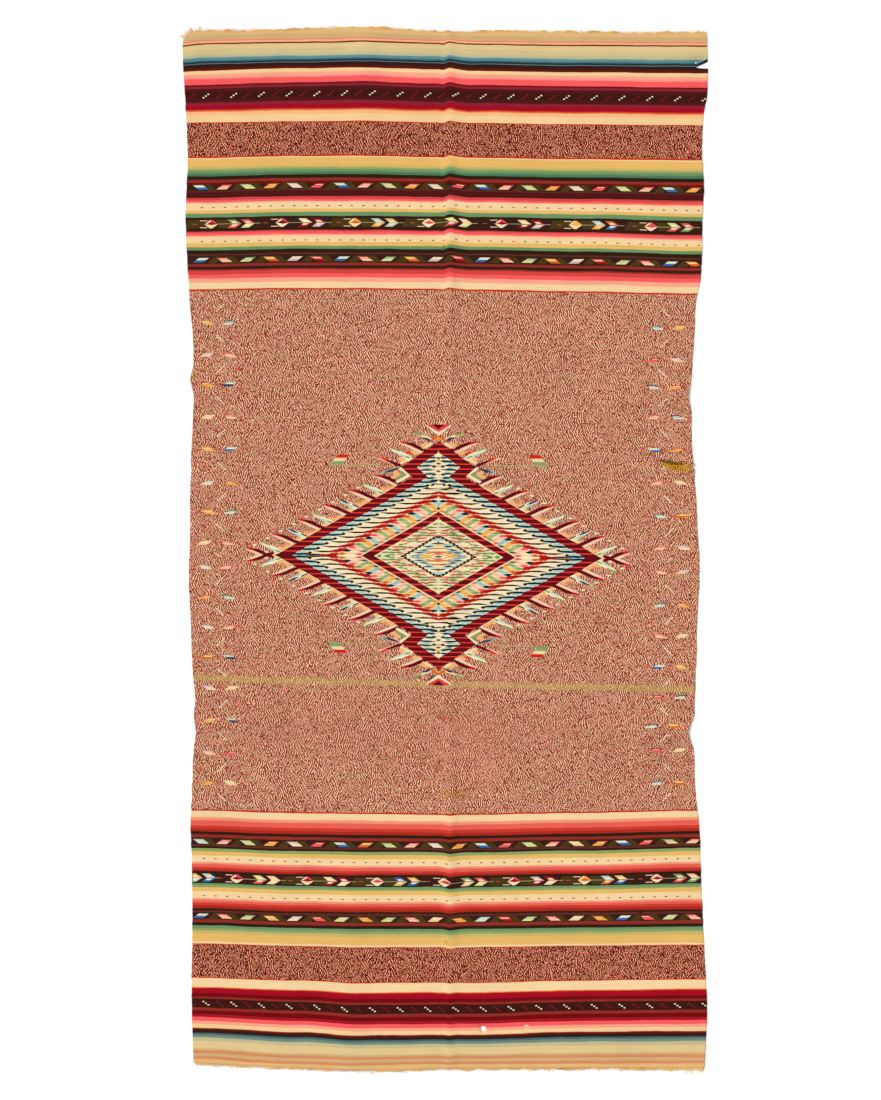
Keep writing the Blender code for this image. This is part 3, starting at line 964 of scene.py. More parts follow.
CAP_SIDE = (
    ("peach", (96, 192), (82, 181), (98, 171), (106, 174), (96, 181), (102, 190)),
    ("leaf", (80, 188), (70, 180.5), (92, 168), (94, 173), (79, 181), (86, 187)),
    ("ivory", (83, 198), (59, 179.5), (90, 162), (95, 166), (69, 180.5), (90, 195)),
    ("pale blue", (86, 196), (110, 186), (136, 180), (118, 189)),
    ("navy", (82, 197), (100, 187.5), (122, 184.5), (108, 191)),
    ("bone", (84, 200), (108, 206), (138, 217), (116, 216)),
    ("scarlet", (96, 205), (114, 209), (134, 219), (118, 218)),
    ("maroon", (78, 196), (92, 200), (116, 211), (108, 212), (84, 204)),
    ("peach", (66, 214), (84, 206), (88, 216), (78, 221)),
    ("pale cream", (60, 213), (82, 203), (86, 206), (66, 218)),
)
CAP_SHOULDER = (
    ("scarlet", (60, 224), (76, 229), (70, 232), (58, 228)),
    ("peach", (36, 229), (52, 222), (62, 231), (46, 236)),
)
CAP_TOP = (
    ("peach", (16, 243), (34, 236), (42, 245), (26, 252)),
    ("pale cream", (12, 247), (28, 237), (32, 240), (16, 252)),
    ("pale cream", (8, 250), (20, 254), (58, 271), (42, 270), (16, 260)),
    ("leaf", (38, 264), (58, 271), (50, 272), (36, 269)),
    ("navy", (8, 251), (20, 252), (38, 262), (24, 260)),
)
# Corners of the plume, with v counted from the cap's top.
PLUME = (
    ("flame", (-22, -2), (0, 6), (22, -2), (12, 8), (0, 12), (-12, 8)),
    ("amber", (-13, 0), (0, 6), (13, 0), (0, 9)),
    ("bone", (0, 12), (30, 34), (24, 34), (0, 20), (-24, 34), (-30, 34)),
    ("scarlet", (0, 21), (24, 33), (20, 36), (-20, 36), (-24, 33)),
    ("maroon", (0, 26), (14, 36), (-14, 36)),
)
MIDDLE = (0.0, 0.0)


def draw_cap_darts(figure):
    """Blades round the small cap at the top and the foot of the medallion."""
    figure.group(MIDDLE, *CAP_SIDE)
    draw_pale_dart(figure, (62, 219), GREEN_TIP)
    figure.group(MIDDLE, *CAP_SHOULDER)
    draw_dark_dart(figure, (29, 232))
    figure.group(MIDDLE, *CAP_TOP)
    top = ring_reach(RINGS[0])
    for yarn, *corners in PLUME:
        figure.half(yarn, [(u, top + v) for u, v in corners])


def draw_medallion(chart):
    """Nested stepped diamonds with blades round them."""
    figure = Medallion(chart)
    draw_darts(figure)
    draw_cap_darts(figure)
    for ring, inner in zip(RINGS, RINGS[1:] + (None,)):
        if ring.name == "inner band":
            draw_outer_rows(figure)
            draw_blocks(figure)
        draw_ring(figure, ring, inner)
    draw_leaf_ring(figure)
    draw_heart(figure)


def draw_torn_lip(chart):
    """The dark underside of the cloth, turned up along the tear."""
    lip = ((552, 1064), (560, 1066), (577, 1075), (577, 1084), (566, 1077), (553, 1071))
    chart.shape("blue black", [(x, on_weft(x, y)) for x, y in lip])


def draw_figures():
    """Every woven figure."""
    chart = Chart()
    draw_flecks(chart)
    draw_grounds(chart)
    draw_lozenge_rows(chart)
    draw_dashes(chart)
    draw_arrows(chart)
    draw_side_columns(chart)
    draw_flags(chart)
    draw_medallion(chart)
    draw_torn_lip(chart)
    return chart


# What is worn away, in mm on the laid cloth.
TEAR_TIP = (548, 1064)
TEAR_UPPER = ((556, 1067.5), (566, 1072))
TEAR_LOWER = ((566, 1061), (556, 1062))
TEAR_MOUTH = (1076, 1061)
HOLES = table(
    "name corners",
    ("pinhole by the tear", ((546, 1074), (549, 1077), (552, 1074), (549, 1071))),
    ("hole in the lower stripes",
     ((76, -1046), (81, -1044), (87, -1046), (88, -1053), (85, -1057), (78, -1056))),
)
NOTCH = ((556, 191), (549, 190.5), (542, 188), (541.5, 181), (548, 179.5), (556, 179))
EDGE_STEP = 4.5
EDGE_ROUND = 2.0
GRID_STEP = 14.0
GRID_ACROSS = (-545, 525)
GRID_ALONG = (-1120, 1128)
CREASE_STEP = 5.0
NOTCH_EDGE = 2
# How far across the four corners of the weave lie.
UPPER_LEFT, UPPER_RIGHT, LOWER_LEFT, LOWER_RIGHT = -578, 574, -554, 570


def spread(start, stop, step):
    """Evenly spaced places from start to stop, about a step apart."""
    count = max(1, round(abs(stop - start) / step))
    return [start + (stop - start) * i / count for i in range(count + 1)]


def right_edge_line():
    """The right edge, upper end first, with the mouth of the tear and the worn notch."""
    top = upper_end(UPPER_RIGHT) - FRAY_DEPTH
    bottom = lower_end(LOWER_RIGHT) + FRAY_DEPTH
    line = [(right_edge(y), y) for y in spread(top, TEAR_MOUTH[0], EDGE_STEP)]
    line += [*reversed(TEAR_UPPER), TEAR_TIP, *reversed(TEAR_LOWER)]
    line += [(right_edge(y), y) for y in spread(TEAR_MOUTH[1], NOTCH[0][1] + NOTCH_EDGE, EDGE_STEP)]
    line += NOTCH[1:-1]
    line += [(right_edge(y), y) for y in spread(NOTCH[-1][1] - NOTCH_EDGE, bottom, EDGE_STEP)]
    return line


def cloth_outline():
    """The outline of the woven cloth on the floor, clockwise from its upper right corner."""
    right = right_edge_line()
    left_top = upper_end(UPPER_LEFT) - FRAY_DEPTH
    left_bottom = lower_end(LOWER_LEFT) + FRAY_DEPTH
    bottom = [(x, lower_end(x) + FRAY_DEPTH) for x in spread(right[-1][0], left_edge(left_bottom), EDGE_STEP)]
    left = [(left_edge(y), y) for y in spread(left_bottom, left_top, EDGE_STEP)]
    top = [(x, upper_end(x) - FRAY_DEPTH) for x in spread(left[-1][0], right[0][0], EDGE_STEP)]
    return right + bottom[1:] + left[1:] + top[1:-1]


def inside_edge(outline):
    """Places just within the outline, so that only the very edge is rounded."""
    ring = outline if turned_area(outline) > 0 else outline[::-1]
    places = []
    for before, here, after in zip(ring[-2:] + ring[:-2], ring, ring[2:] + ring[:2]):
        ahead = Vector(after) - Vector(before)
        ahead.normalize()
        places.append((here[0] - ahead.y * EDGE_ROUND, here[1] + ahead.x * EDGE_ROUND))
    return places


def grid_points():
    """Places inside the cloth where its surface is shaped, closer together over the crease."""
    crease = FOLDS[0].across
    reach = FOLDS[0].half_width
    columns = spread(GRID_ACROSS[0], crease - reach - CREASE_STEP, GRID_STEP)
    columns += spread(crease - reach, crease + reach, CREASE_STEP)
    columns += spread(crease + reach + CREASE_STEP, GRID_ACROSS[1], GRID_STEP)
    rows = spread(*GRID_ALONG, GRID_STEP)
    return [(x, y) for y in rows for x in columns]


SMALL_WAVES = 0.55


def surface_height(across, along):
    """The underside's height at a place, with the small unevenness of old wool cloth, in mm."""
    broad = noise.noise(Vector((across / 85, along / 60, 3.7)))
    small = noise.noise(Vector((across / 34, along / 26, 9.1)))
    return lift(across, along) + SMALL_WAVES * (1 + (broad + 0.5 * small)) * 0.5


WARP_HALF = 565


def warp_place(across, along):
    """A place across the cloth counted in warp ends: the selvedges are at the same count all along."""
    left = left_edge(along)
    right = right_edge(along)
    return -WARP_HALF + 2 * WARP_HALF * (across - left) / (right - left)


def fill_cloth(chart):
    """Cut the flat cloth into triangles that follow the outline, the holes and every woven figure."""
    points = []
    faces = []

    def face(corners):
        first = len(points)
        points.extend(Vector(corner) for corner in anticlockwise(corners))
        faces.append(list(range(first, len(points))))

    face([(x, on_weft(x, y)) for x, y in cloth_outline()])
    for hole in HOLES:
        face([(x, on_weft(x, y)) for x, y in hole.corners])
    for _, corners in chart.shapes:
        face(corners)
    for x, y in grid_points() + inside_edge(cloth_outline()):
        points.append(Vector((x, on_weft(x, y))))
    places, _, triangles, _, _, origins = delaunay_2d_cdt(points, [], faces, 1, 0.01, True)
    holes = set(range(1, 1 + len(HOLES)))
    kept = []
    for triangle, origin in zip(triangles, origins):
        if 0 in origin and not holes.intersection(origin):
            kept.append((triangle, max(origin)))
    used = sorted({i for triangle, _ in kept for i in triangle})
    order = {i: k for k, i in enumerate(used)}
    return [places[i] for i in used], [([order[i] for i in triangle], top) for triangle, top in kept]


NO_FIGURE = (0.0, 0.0, 0.0, 0.0)


def add_weave(mesh, weave_places, colours):
    """Give each corner its place on the weave and the colour of the figure there."""
    mesh.uv_layers.new(name="weave")
    mesh.color_attributes.new("figures", "FLOAT_COLOR", "CORNER")
    mesh.uv_layers["weave"].data.foreach_set("uv", weave_places)
    mesh.color_attributes["figures"].data.foreach_set("color", colours)


def add_to_scene(name, data):
    """An object for a mesh, light or camera, put into the scene."""
    thing = bpy.data.objects.new(name, data)
    bpy.context.scene.collection.objects.link(thing)
    return thing


def make_cloth(chart, material):
    """The woven sheet, with its figures as corner colours and its weave places as UVs."""
    places, kept = fill_cloth(chart)
    laid_places = [(p.x, laid(p.x, p.y)) for p in places]
    points = [to_frame(x, y, surface_height(x, y)) for x, y in laid_places]
    mesh = bpy.data.meshes.new("serape_cloth")
    mesh.from_pydata(points, [], [triangle for triangle, _ in kept])
    first_figure = 1 + len(HOLES)
    shades = {yarn: opaque(yarn) for yarn, _ in chart.shapes}
    weave_places = []
    colours = []
    for triangle, top in kept:
        colour = NO_FIGURE if top < first_figure else shades[chart.shapes[top - first_figure][0]]
        for i in triangle:
            weave_places.extend((warp_place(*laid_places[i]) * MM, places[i].y * MM))
            colours.extend(colour)
    add_weave(mesh, weave_places, colours)
    mesh.update()
    mesh.validate()
    mesh.shade_smooth()
    mesh.materials.append(material)
    cloth = add_to_scene("serape_cloth", mesh)
    body = cloth.modifiers.new("thickness", "SOLIDIFY")
    body.thickness = THICKNESS * MM
    body.offset = 1.0
    return cloth


def math_operator(operation, swapped=False):
    """An operator that adds one math node to a value's shader."""
    def apply(self, other):
        values = (other, self) if swapped else (self, other)
        return self.shader.math(operation, *values)

    return apply


class Value:
    """What one node gives out, for use in plain arithmetic."""

    def __init__(self, shader, socket):
        self.shader = shader
        self.socket = socket

    __add__ = math_operator("ADD")
    __sub__ = math_operator("SUBTRACT")
    __rsub__ = math_operator("SUBTRACT", swapped=True)
    __mul__ = math_operator("MULTIPLY")
    __truediv__ = math_operator("DIVIDE")
    __pow__ = math_operator("POWER")
    __mod__ = math_operator("MODULO")
    __lt__ = math_operator("LESS_THAN")
    __gt__ = math_operator("GREATER_THAN")


class Shader:
    """Short calls for building one node material."""

    def __init__(self, name):
        self.material = bpy.data.materials.new(name)
        self.material.use_nodes = True
        self.tree = self.material.node_tree

    def feed(self, sockets, inputs):
        """Set sockets, given by number or name, to plain values or join them to other nodes."""
        for key, value in inputs.items():
            if isinstance(value, Value):
                self.tree.links.new(value.socket, sockets[key])
            else:
                sockets[key].default_value = value

    def surface(self, inputs):
        self.feed(self.tree.nodes["Principled BSDF"].inputs, inputs)

    def add(self, kind, inputs, output=0, **settings):
        """Add a node with its inputs fed, and give back one of its outputs."""
        node = self.tree.nodes.new(kind)
        for key, value in settings.items():
            setattr(node, key, value)
        self.feed(node.inputs, inputs)
        return Value(self, node.outputs[output])

    def math(self, operation, *values):
        return self.add("ShaderNodeMath", dict(enumerate(values)), operation=operation)

    def mix(self, share, first, second, blend="MIX"):
        inputs = {0: share, 6: first, 7: second}
        return self.add("ShaderNodeMix", inputs, 2, data_type="RGBA", blend_type=blend)

    def combine(self, across, along):
        return self.add("ShaderNodeCombineXYZ", {0: across, 1: along})

    def noise(self, place, scale, detail=2.0, roughness=0.5):
        inputs = {"Vector": place, "Scale": scale, "Detail": detail, "Roughness": roughness}
        return self.add("ShaderNodeTexNoise", inputs)

    def bump(self, height, distance, strength):
        return self.add("ShaderNodeBump", {"Height": height, "Distance": distance, "Strength": strength})

    def between(self, value, low, high):
        """The value's share of the way from low to high, held within 0 and 1."""
        return self.add("ShaderNodeMapRange", {0: value, 1: low, 2: high, 3: 0.0, 4: 1.0})

    def ramp(self, share, stops):
        """The colour and the cover that a ramp has at a share of its length."""
        node = self.tree.nodes.new("ShaderNodeValToRGB")
        elements = node.color_ramp.elements
        elements.remove(elements[1])
        elements[0].position, elements[0].color = stops[0]
        for place, colour in stops[1:]:
            elements.new(place).color = colour
        self.feed(node.inputs, {0: share})
        return Value(self, node.outputs[0]), Value(self, node.outputs[1])


def opaque(yarn):
    """A yarn's colour for a ramp; marl is left clear."""
    if yarn == "dark marl":
        return (0.0, 0.0, 0.0, 0.0)
    return tuple(linear(yarn)) + (1.0,)


BANDS_PER_RAMP = 15
BAND_BLUR = 0.2
PICK_STRAY = 0.8
PAST_END = 60.0


def band_edges(start, bands):
    """Each band with where it starts and ends, in mm along the cloth."""
    placed = []
    upper = start
    for band in bands:
        lower = upper - band.picks * PICK
        placed.append((band.yarn, upper, lower))
        upper = lower
    return placed


def paint_bands(shader, along, under, start, bands):
    """Lay one end's bands of weft over what is under them, a ramp for each run of bands."""
    placed = band_edges(start, bands)
    if start > 0:
        placed[0] = (placed[0][0], start + PAST_END, placed[0][2])
    else:
        placed[-1] = (placed[-1][0], placed[-1][1], placed[-1][2] - PAST_END)
    for first in range(0, len(placed), BANDS_PER_RAMP):
        run = placed[first:first + BANDS_PER_RAMP]
        top, foot = run[0][1], run[-1][2]
        span = top - foot
        stops = []
        for yarn, upper, lower in run:
            stops.append(((top - upper + BAND_BLUR) / span, opaque(yarn)))
            stops.append(((top - lower - BAND_BLUR) / span, opaque(yarn)))
        colour, cover = shader.ramp((top * MM - along) / (span * MM), stops)
        inside = (along < top * MM) * (along > foot * MM)
        under = shader.mix(cover * inside, under, colour)
    return under


RIB = 2.3
ROW = 1.1
MARL_LENGTH = 4.8
MARL_LEAN = math.radians(64)
MARL_EVENNESS = 0.88
LINE_SHARE = 0.82
SPECK_SHARE = 0.18
FIELD_REACH = 0.75
MARL_PLACES = (0.42, 0.48, 0.52, 0.58)
FIELD_MARL = ((90, 18, 8), (150, 66, 44), (207, 125, 94), (255, 199, 161))
DARK_MARL = ((36, 0, 0), (82, 0, 2), (154, 48, 38), (252, 162, 124))


def marl_stops(colours):
    """Ramp stops from the dark to the light of a two-coloured yarn."""
    stops = []
    for place, colour in zip(MARL_PLACES, colours):
        stops.append((place, tuple((value / 255) ** 2.2 / STAGE_LIGHT for value in colour) + (1.0,)))
    return stops


def cell(value, size):
    """The middle of the thread that a place falls on."""
    count = value.shader.math("FLOOR", value / (size * MM))
    return (count + 0.5) * (size * MM)


def paint_marl(shader, across, along):
    """Two-coloured yarn: dark and light flecks that drift into slanting lines from row to row."""
    place = shader.combine(cell(across, RIB), cell(along, ROW))
    lean = shader.between(shader.noise(shader.combine(across, along), 42.0, 1.0), 0.43, 0.53)
    lines = shader.add("ShaderNodeTexGabor", {
        "Vector": place, "Frequency": 2.0, "Scale": 1000 / MARL_LENGTH / 2.0,
        "Anisotropy": MARL_EVENNESS, "Orientation": (lean - 0.5) * MARL_LEAN}, gabor_type="2D")
    specks = shader.add("ShaderNodeTexWhiteNoise", {"Vector": place}, noise_dimensions="2D")
    value = lines * LINE_SHARE + specks * SPECK_SHARE
    field, _ = shader.ramp(value, marl_stops(FIELD_MARL))
    dark, _ = shader.ramp(value, marl_stops(DARK_MARL))
    colour = shader.mix((along < FIELD_REACH) * (along > -FIELD_REACH), dark, field)
    warm = shader.noise(shader.combine(across * 4.0, along * 30.0), 3.0, 3.0, 0.6)
    tint, _ = shader.ramp(warm, [(0.38, (0.98, 1.03, 0.96, 1)), (0.62, (1.02, 0.96, 1.03, 1))])
    return shader.mix(1.0, colour, tint, "MULTIPLY"), shader.between(value, 0.40, 0.62)


STAIN_GRAIN = 1.5
STAINS = table(
    "name across along half_width half_height colour strength edge slope",
    ("worn patch at the selvedge", 528, 186, 35, 10, (0.42, 0.21, 0.012), 0.95, 0.35, -0.18),
    ("dark side of the worn patch", 514, 195, 30, 4.5, (0.09, 0.045, 0.004), 0.8, 0.5, -0.18),
    ("olive below a figure", 463, 212, 12, 3.2, (0.28, 0.15, 0.02), 0.75, 0.4, 0),
    ("broad red cast", -110, -395, 430, 70, (0.46, 0.15, 0.10), 0.24, 0.9, 0),
    ("mustard wear", 14, -352, 24, 3.2, (0.42, 0.20, 0.04), 0.7, 0.5, 0),
    ("red wear", 2, -367, 20, 4.5, (0.36, 0.07, 0.025), 0.6, 0.5, 0),
    ("olive wear", -33, -451, 10, 3.0, (0.20, 0.13, 0.05), 0.6, 0.5, 0),
    ("brown wear", -15, -474, 10, 8, (0.30, 0.07, 0.035), 0.55, 0.5, 0),
    ("long mustard wear", 24, -534, 31, 7, (0.44, 0.19, 0.04), 0.6, 0.5, 0),
    ("pink cast", 62, -442, 88, 80, (0.58, 0.20, 0.13), 0.28, 0.5, 0),
    ("yellow spot", -4, -858, 5, 4, (0.60, 0.35, 0.05), 0.7, 0.4, 0),
    ("green spot", -2, 669, 4, 4, (0.05, 0.20, 0.07), 0.8, 0.4, 0),
    ("small green spot", -4, 744, 3, 3, (0.06, 0.18, 0.07), 0.6, 0.4, 0),
    ("bright green spot", 117, -13, 6, 2.6, (0.03, 0.35, 0.04), 0.85, 0.3, 0),
    ("mended spot", 169, -1046, 5, 4, (0.80, 0.62, 0.42), 0.7, 0.4, 0),
)


def grained(shader, colour, grain, depth):
    """A colour that still shows the light and dark flecks of the yarn beneath it."""
    return shader.mix(1.0, colour + (1,), grain * depth + (1.0 - depth / 2), "MULTIPLY")


def paint_stains(shader, across, along, colour, grain):
    """Wear and spots, each an uneven patch."""
    wander = shader.noise(shader.combine(across, along), 110.0, 3.0, 0.65)
    for stain in STAINS:
        beside = across - stain.across * MM
        above = along - beside * stain.slope - on_weft(stain.across, stain.along) * MM
        dx = beside / (stain.half_width * MM)
        dy = above / (stain.half_height * MM)
        reach = shader.math("SQRT", dx * dx + dy * dy) + (wander - 0.5) * 1.6
        cover = shader.between(reach, 1.0 + stain.edge / 2, 1.0 - stain.edge / 2) * stain.strength
        colour = shader.mix(cover, colour, grained(shader, stain.colour, grain, STAIN_GRAIN))
    return colour


FAINT_GRAIN = 1.0
FAINT_COLOUR = (0.50, 0.31, 0.11)
FAINT_LINES = table(
    "weft_along half_height strength",
    (-299.5, 8.5, 0.85), (381, 4.5, 0.16), (543, 2.0, 0.12),
)


def paint_faint_lines(shader, along, colour, grain):
    """Rows of paler weft across the field."""
    for line in FAINT_LINES:
        off = shader.math("ABSOLUTE", along - line.weft_along * MM)
        cover = shader.between(off, line.half_height * MM, line.half_height * 0.45 * MM) * line.strength
        colour = shader.mix(cover, colour, grained(shader, FAINT_COLOUR, grain, FAINT_GRAIN))
    return colour


def rounded(shader, count):
    """A bead for each whole count."""
    return shader.math("ABSOLUTE", shader.math("SINE", count * math.pi)) ** 0.6


def weave_height(shader, across, along):
    """The weft's beads over the warp ends: brick-fashion, one row up on every other rib."""
    rib = across / (RIB * MM)
    odd = shader.math("ABSOLUTE", shader.math("FLOOR", rib)) % 2.0
    return rounded(shader, rib) * rounded(shader, along / (ROW * MM) + odd * 0.5)


def shaded(shader, colour, share):
    """A colour darkened or lightened by a share, for the wool's random tone and for the painted shade between
    the weave's beads.
    """
    return shader.mix(1.0, colour, share, "MULTIPLY")


STREAK_DEPTH = 0.30
PATCH_DEPTH = 0.22
# Painted shade of the weave: the base colour is darkest in the hollows between the weft's beads and lightest
# on their tops.
BEAD_SHADE_DEPTH = 0.22
BEAD_SHADE_FLOOR = 0.86
WOOL_BUMP = 0.45
PICK_WANDER = 4.0


def wool_material():
    """Weft-faced wool: bands, marl, woven figures, wear and weave, with painted shade in the hollows between
    the weave's beads.
    """
    shader = Shader("woven_wool")
    place = shader.add("ShaderNodeUVMap", {}, uv_map="weave")
    across, straight = [shader.add("ShaderNodeSeparateXYZ", {0: place}, part) for part in (0, 1)]
    wander = shader.noise(shader.combine(across, straight * 3.0), 15.0, 3.0, 0.6)
    along = straight + (wander - 0.5) * (PICK_WANDER * MM)
    colour, grain = paint_marl(shader, across, along)
    colour = paint_faint_lines(shader, straight, colour, grain)
    row = cell(along, ROW)
    stray = shader.add("ShaderNodeTexWhiteNoise", {"W": row * 900.0}, noise_dimensions="1D")
    picked = row + (stray - 0.5) * (PICK_STRAY * MM)
    colour = paint_bands(shader, picked, colour, UPPER_START, UPPER_BANDS)
    colour = paint_bands(shader, picked, colour, LOWER_START, LOWER_BANDS)
    figures, cover = [shader.add("ShaderNodeVertexColor", {}, part, layer_name="figures") for part in (0, 1)]
    colour = shader.mix(cover, colour, figures)
    colour = paint_stains(shader, across, straight, colour, grain)
    streaks = shader.noise(shader.combine(across * 6.0, along * 520.0), 1.0, 2.0, 0.6)
    patches = shader.noise(shader.combine(across, along), 9.0, 4.0, 0.6)
    middle_tone = 1 - (STREAK_DEPTH + PATCH_DEPTH) / 2
    colour = shaded(shader, colour, streaks * STREAK_DEPTH + patches * PATCH_DEPTH + middle_tone)
    beads = weave_height(shader, across, along)
    hairs = shader.noise(shader.combine(across, along), 1500.0, 3.0, 0.7)
    # Painted shade: the beads' height darkens the base colour in their hollows, as well as shaping the bump.
    shader.surface({
        "Base Color": shaded(shader, colour, beads * BEAD_SHADE_DEPTH + BEAD_SHADE_FLOOR),
        "Normal": shader.bump(beads * 0.7 + hairs * 0.45, WOOL_BUMP * MM, 0.8),
        "Roughness": 0.95, "Specular IOR Level": 0.05, "Sheen Weight": 0.03, "Sheen Roughness": 0.6})
    return shader.material


def yarn_material():
    """Loose cotton warp and the last rows of weft, twisted and a little grey."""
    shader = Shader("warp_yarn")
    place = shader.add("ShaderNodeTexCoord", {}, "Object")
    twist = shader.noise(place, 900.0, 2.0, 0.6)
    tone = shader.noise(place, 45.0, 3.0, 0.6)
    colour, _ = shader.ramp(twist * 0.5 + tone * 0.5, [
        (0.32, (0.50, 0.27, 0.08, 1)), (0.50, (0.76, 0.45, 0.16, 1)), (0.68, (0.92, 0.64, 0.30, 1))])
    shader.surface({"Base Color": colour, "Normal": shader.bump(twist, 0.3 * MM, 1.0),
                    "Roughness": 0.9, "Specular IOR Level": 0.15})
    return shader.material


class Tubes:
    """Many thin yarns in one mesh, each a tube through its own points."""

    def __init__(self, sides):
        self.sides = sides
        self.points = []
        self.faces = []

    def yarn(self, path, radius, taper=0.6):
        """Add a tube along a path of places in mm; its far end narrows by the taper."""
        sides = self.sides
        first = len(self.points)
        path = [Vector(place) for place in path]
        for i, place in enumerate(path):
            ahead = path[min(i + 1, len(path) - 1)] - path[max(i - 1, 0)]
            ahead.normalize()
            beside = ahead.cross(Vector((0, 0, 1)))
            if beside.length < 0.1:
                beside = Vector((1, 0, 0))
            beside.normalize()
            above = beside.cross(ahead)
            size = radius * (1 - (1 - taper) * i / (len(path) - 1))
            for k in range(sides):
                turn = 2 * math.pi * k / sides + math.pi / 2
                spot = place + beside * math.cos(turn) * size + above * math.sin(turn) * size
                self.points.append(to_frame(*spot))
        for i in range(len(path) - 1):
            for k in range(sides):
                a = first + i * sides + k
                b = first + i * sides + (k + 1) % sides
                self.faces.append((a, a + sides, b + sides, b))
        self.faces.append(tuple(range(first, first + sides)))
        last = first + (len(path) - 1) * sides
        self.faces.append(tuple(range(last + sides - 1, last - 1, -1)))

    def build(self, name, material):
        mesh = bpy.data.meshes.new(name)
        mesh.from_pydata(self.points, [], self.faces)
        mesh.validate()
        mesh.shade_smooth()
        mesh.materials.append(material)
        return add_to_scene(name, mesh)


WARP_RADIUS = 0.55
WARP_INSET = 1.5
YARN_SIDES = 4
EDGE_SIDES = 6
YARN_STEPS = 5
CURLS = 16
CURL_STEPS = 9
CURL_STEP = 2.0
WEFT_RADIUS = 0.62
LOOSE_ROWS = 7
LOOSE_ROW_STEP = 1.1
LOOSE_ROW_START = -5.4


def warp_ends(end):
    """Where each warp end leaves the cloth, across the piece."""
    row = SELVEDGES[0] if end == "upper" else SELVEDGES[-1]
    return spread(row.left + WARP_INSET, row.right - WARP_INSET, RIB)


def fray_reach(draw, across, end):
    """How far a warp end stands out of the last weft, in mm: mostly short, with a few tufts."""
    tuft = max(wave(across, 14, 5.0 if end == "upper" else 11.0), 0)
    reach = 0.2 + 1.6 * draw.random() + tuft * 5.0
    if end == "lower" and across > 525:
        reach += 9 * draw.random()
    if end == "upper" and across < -520:
        reach += 8 * draw.random() ** 2
    return reach


def loose_rows(tubes, places, line, outward):
    """The last rows of weft, sagging and broken, more of them missing the farther out they lie."""
    for k in range(LOOSE_ROWS):
        out = LOOSE_ROW_START + k * LOOSE_ROW_STEP
        path = []
        for i, x in enumerate(places + [None]):
            if x is not None and wave(x, 19, 20.0 + outward) + 0.4 * wave(x, 6, 30.0 + k) > (k - 3.6) * 0.22:
                height = 1.2 + (0.4 if (i + k) % 2 == 0 else -0.2)
                path.append((x, line(x) + outward * (out + 0.5 * wave(x, 8, k * 3.1)), height))
            else:
                if len(path) > 2:
                    tubes.yarn(path, WEFT_RADIUS, 1.0)
                path = []


def make_fray(end, material):
    """One raw end: warp ends standing out of the last few loosened rows of weft."""
    draw = random.Random("fray at the " + end + " end")
    outward = 1 if end == "upper" else -1
    line = upper_end if end == "upper" else lower_end
    tubes = Tubes(YARN_SIDES)
    places = warp_ends(end)
    for place in places:
        x = place + draw.uniform(-0.3, 0.3)
        foot = line(x) - outward * (FRAY_DEPTH + 1.0)
        reach = FRAY_DEPTH + 1.0 + fray_reach(draw, x, end)
        lean = draw.uniform(-1, 1) * 0.20 * reach
        curl = draw.uniform(-1, 1) * 0.10 * reach
        path = []
        for step in range(YARN_STEPS + 1):
            share = step / YARN_STEPS
            height = 1.2 + 0.4 * math.sin(share * math.pi) + draw.uniform(-0.15, 0.15)
            path.append((x + lean * share * share + curl * math.sin(share * 5),
                         foot + outward * reach * share,
                         max(height * (1 - 0.45 * share), WARP_RADIUS)))
        tubes.yarn(path, WARP_RADIUS * draw.uniform(0.8, 1.1), 0.5)
    loose_rows(tubes, places, line, outward)
    if end == "upper":
        draw_corner_curls(tubes, draw)
    return tubes.build("serape_fray_top" if end == "upper" else "serape_fray_bottom", material)


def draw_corner_curls(tubes, draw):
    """Longer loose yarns curling off the worn upper left corner."""
    for _ in range(CURLS):
        x = draw.uniform(-576, -548)
        foot = upper_end(x) - 5
        turn = draw.uniform(95, 165)
        bend = draw.uniform(-14, 14)
        path = []
        y = foot
        for step in range(CURL_STEPS):
            path.append((x, y, max(1.8 - 0.13 * step, WARP_RADIUS)))
            x += CURL_STEP * math.cos(math.radians(turn))
            y += CURL_STEP * math.sin(math.radians(turn))
            turn += bend
        tubes.yarn(path, WARP_RADIUS * 0.9, 0.5)


SELVEDGE_RADIUS = 1.05
SELVEDGE_INSET = 0.35
SELVEDGE_WARP_PLACE = 0.566


def make_selvedges(material):
    """The cloth's two firm edges, where the weft turns round a doubled outer warp end."""
    tubes = Tubes(EDGE_SIDES)
    uvs = []
    runs = (
        (left_edge, -1, 1146 - FRAY_DEPTH - CORNER_WEAR, -1130 + FRAY_DEPTH),
        (right_edge, 1, 1144 - FRAY_DEPTH, TEAR_MOUTH[0] + 1),
        (right_edge, 1, TEAR_MOUTH[1] - 1, NOTCH[0][1] + 3),
        (right_edge, 1, NOTCH[-1][1] - 3, -1136 + FRAY_DEPTH),
    )
    for edge, side, start, stop in runs:
        path = []
        for y in spread(start, stop, 4.0):
            x = edge(y) - side * SELVEDGE_INSET
            path.append((x, y, surface_height(x, y) + SELVEDGE_RADIUS))
            uvs.append((side * SELVEDGE_WARP_PLACE, on_weft(x, y) * MM))
        tubes.yarn(path, SELVEDGE_RADIUS, 1.0)
    edges = tubes.build("serape_selvedges", material)
    weave_places = [value for loop in edges.data.loops for value in uvs[loop.vertex_index // tubes.sides]]
    add_weave(edges.data, weave_places, NO_FIGURE * len(edges.data.loops))
    return edges


def floor_material():
    """A plain painted finish for the stage."""
    shader = Shader("floor_paint")
    place = shader.add("ShaderNodeTexCoord", {}, "Object")
    pale = (0.93, 0.93, 0.925)
    dull = tuple(0.99 * value for value in pale)
    tint, _ = shader.ramp(shader.noise(place, 3.0), [(0.3, dull + (1,)), (0.7, pale + (1,))])
    shader.surface({"Base Color": tint, "Roughness": 0.9})
    return shader.material


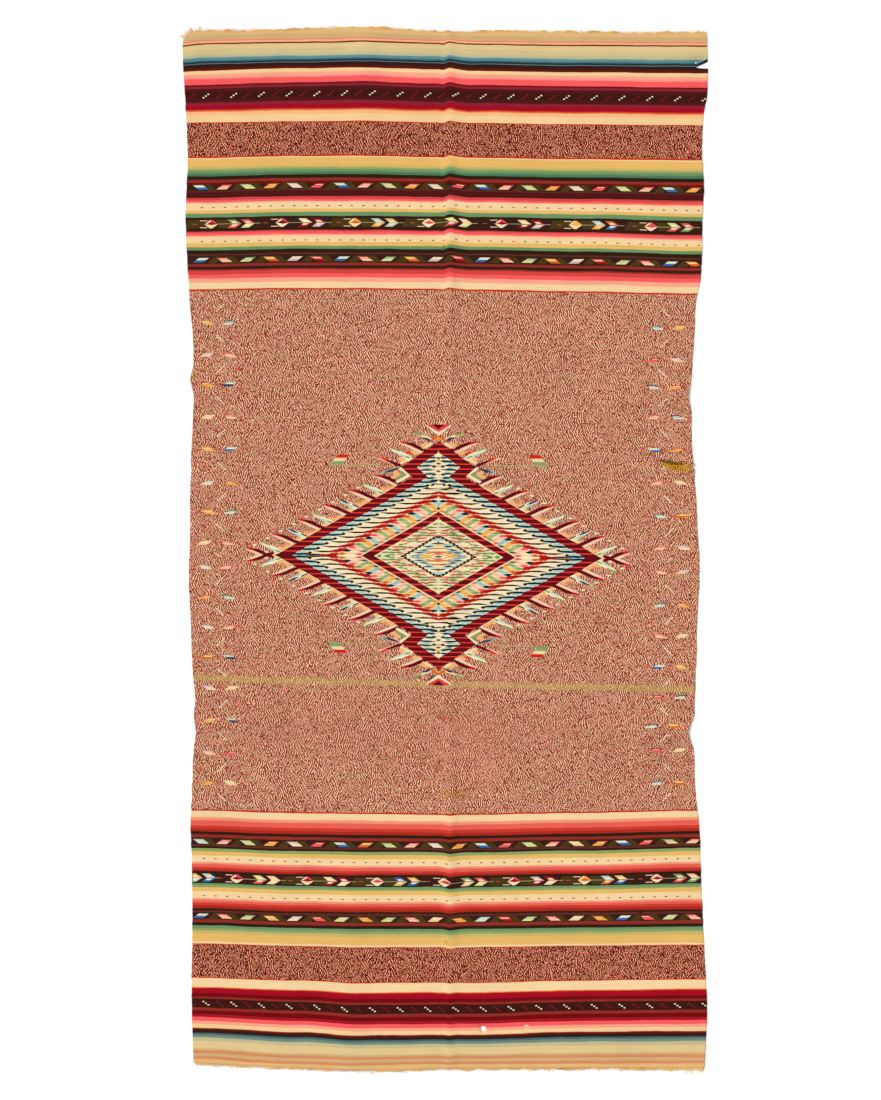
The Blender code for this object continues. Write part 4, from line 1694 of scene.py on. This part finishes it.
CAMERA_HEIGHT = 6.0
PHOTO_HEIGHT = 2.42
PHOTO_MIDDLE = (-12.1, 2.2)
SENSOR = 36.0
WORLD_STRENGTH = 0.66
SUN_STRENGTH = 2.5
SUN_ANGLE = math.radians(35)
TO_LIGHT = (-0.75, 0.55, 0.95)
FLOOR_HALF = 6.0


def make_stage():
    """A pale floor, soft light from above and the camera over the cloth."""
    mesh = bpy.data.meshes.new("floor")
    mesh.from_pydata([(x * FLOOR_HALF, y * FLOOR_HALF, 0) for x, y in ((-1, -1), (1, -1), (1, 1), (-1, 1))],
                     [], [(0, 1, 2, 3)])
    mesh.materials.append(floor_material())
    floor = add_to_scene("floor", mesh)
    world = bpy.data.worlds.new("studio")
    world.use_nodes = True
    world.node_tree.nodes["Background"].inputs[0].default_value = (1.0, 1.0, 1.0, 1.0)
    world.node_tree.nodes["Background"].inputs[1].default_value = WORLD_STRENGTH
    bpy.context.scene.world = world
    sun = bpy.data.lights.new("soft light", "SUN")
    sun.energy = SUN_STRENGTH
    sun.angle = SUN_ANGLE
    light = add_to_scene("soft light", sun)
    light.rotation_euler = Vector(TO_LIGHT).to_track_quat("Z", "Y").to_euler()
    lens = bpy.data.cameras.new("camera")
    lens.sensor_fit = "VERTICAL"
    lens.sensor_height = SENSOR
    lens.lens = SENSOR * CAMERA_HEIGHT / PHOTO_HEIGHT
    camera = add_to_scene("camera", lens)
    x, y, _ = to_frame(*PHOTO_MIDDLE, 0)
    camera.location = (x, y, CAMERA_HEIGHT)
    bpy.context.scene.camera = camera
    bpy.context.scene.view_settings.view_transform = "Standard"


def main():
    make_stage()
    wool = wool_material()
    yarn = yarn_material()
    cloth = make_cloth(draw_figures(), wool)
    edges = make_selvedges(wool)
    top = make_fray("upper", yarn)
    bottom = make_fray("lower", yarn)
    slots = ((cloth, "woven_wool"), (edges, "woven_wool"), (top, "warp_yarn"), (bottom, "warp_yarn"))
    for piece, slot in slots:
        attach(piece, BODY)
    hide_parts("cloth")
    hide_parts("fray_top")
    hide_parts("fray_bottom")


main()
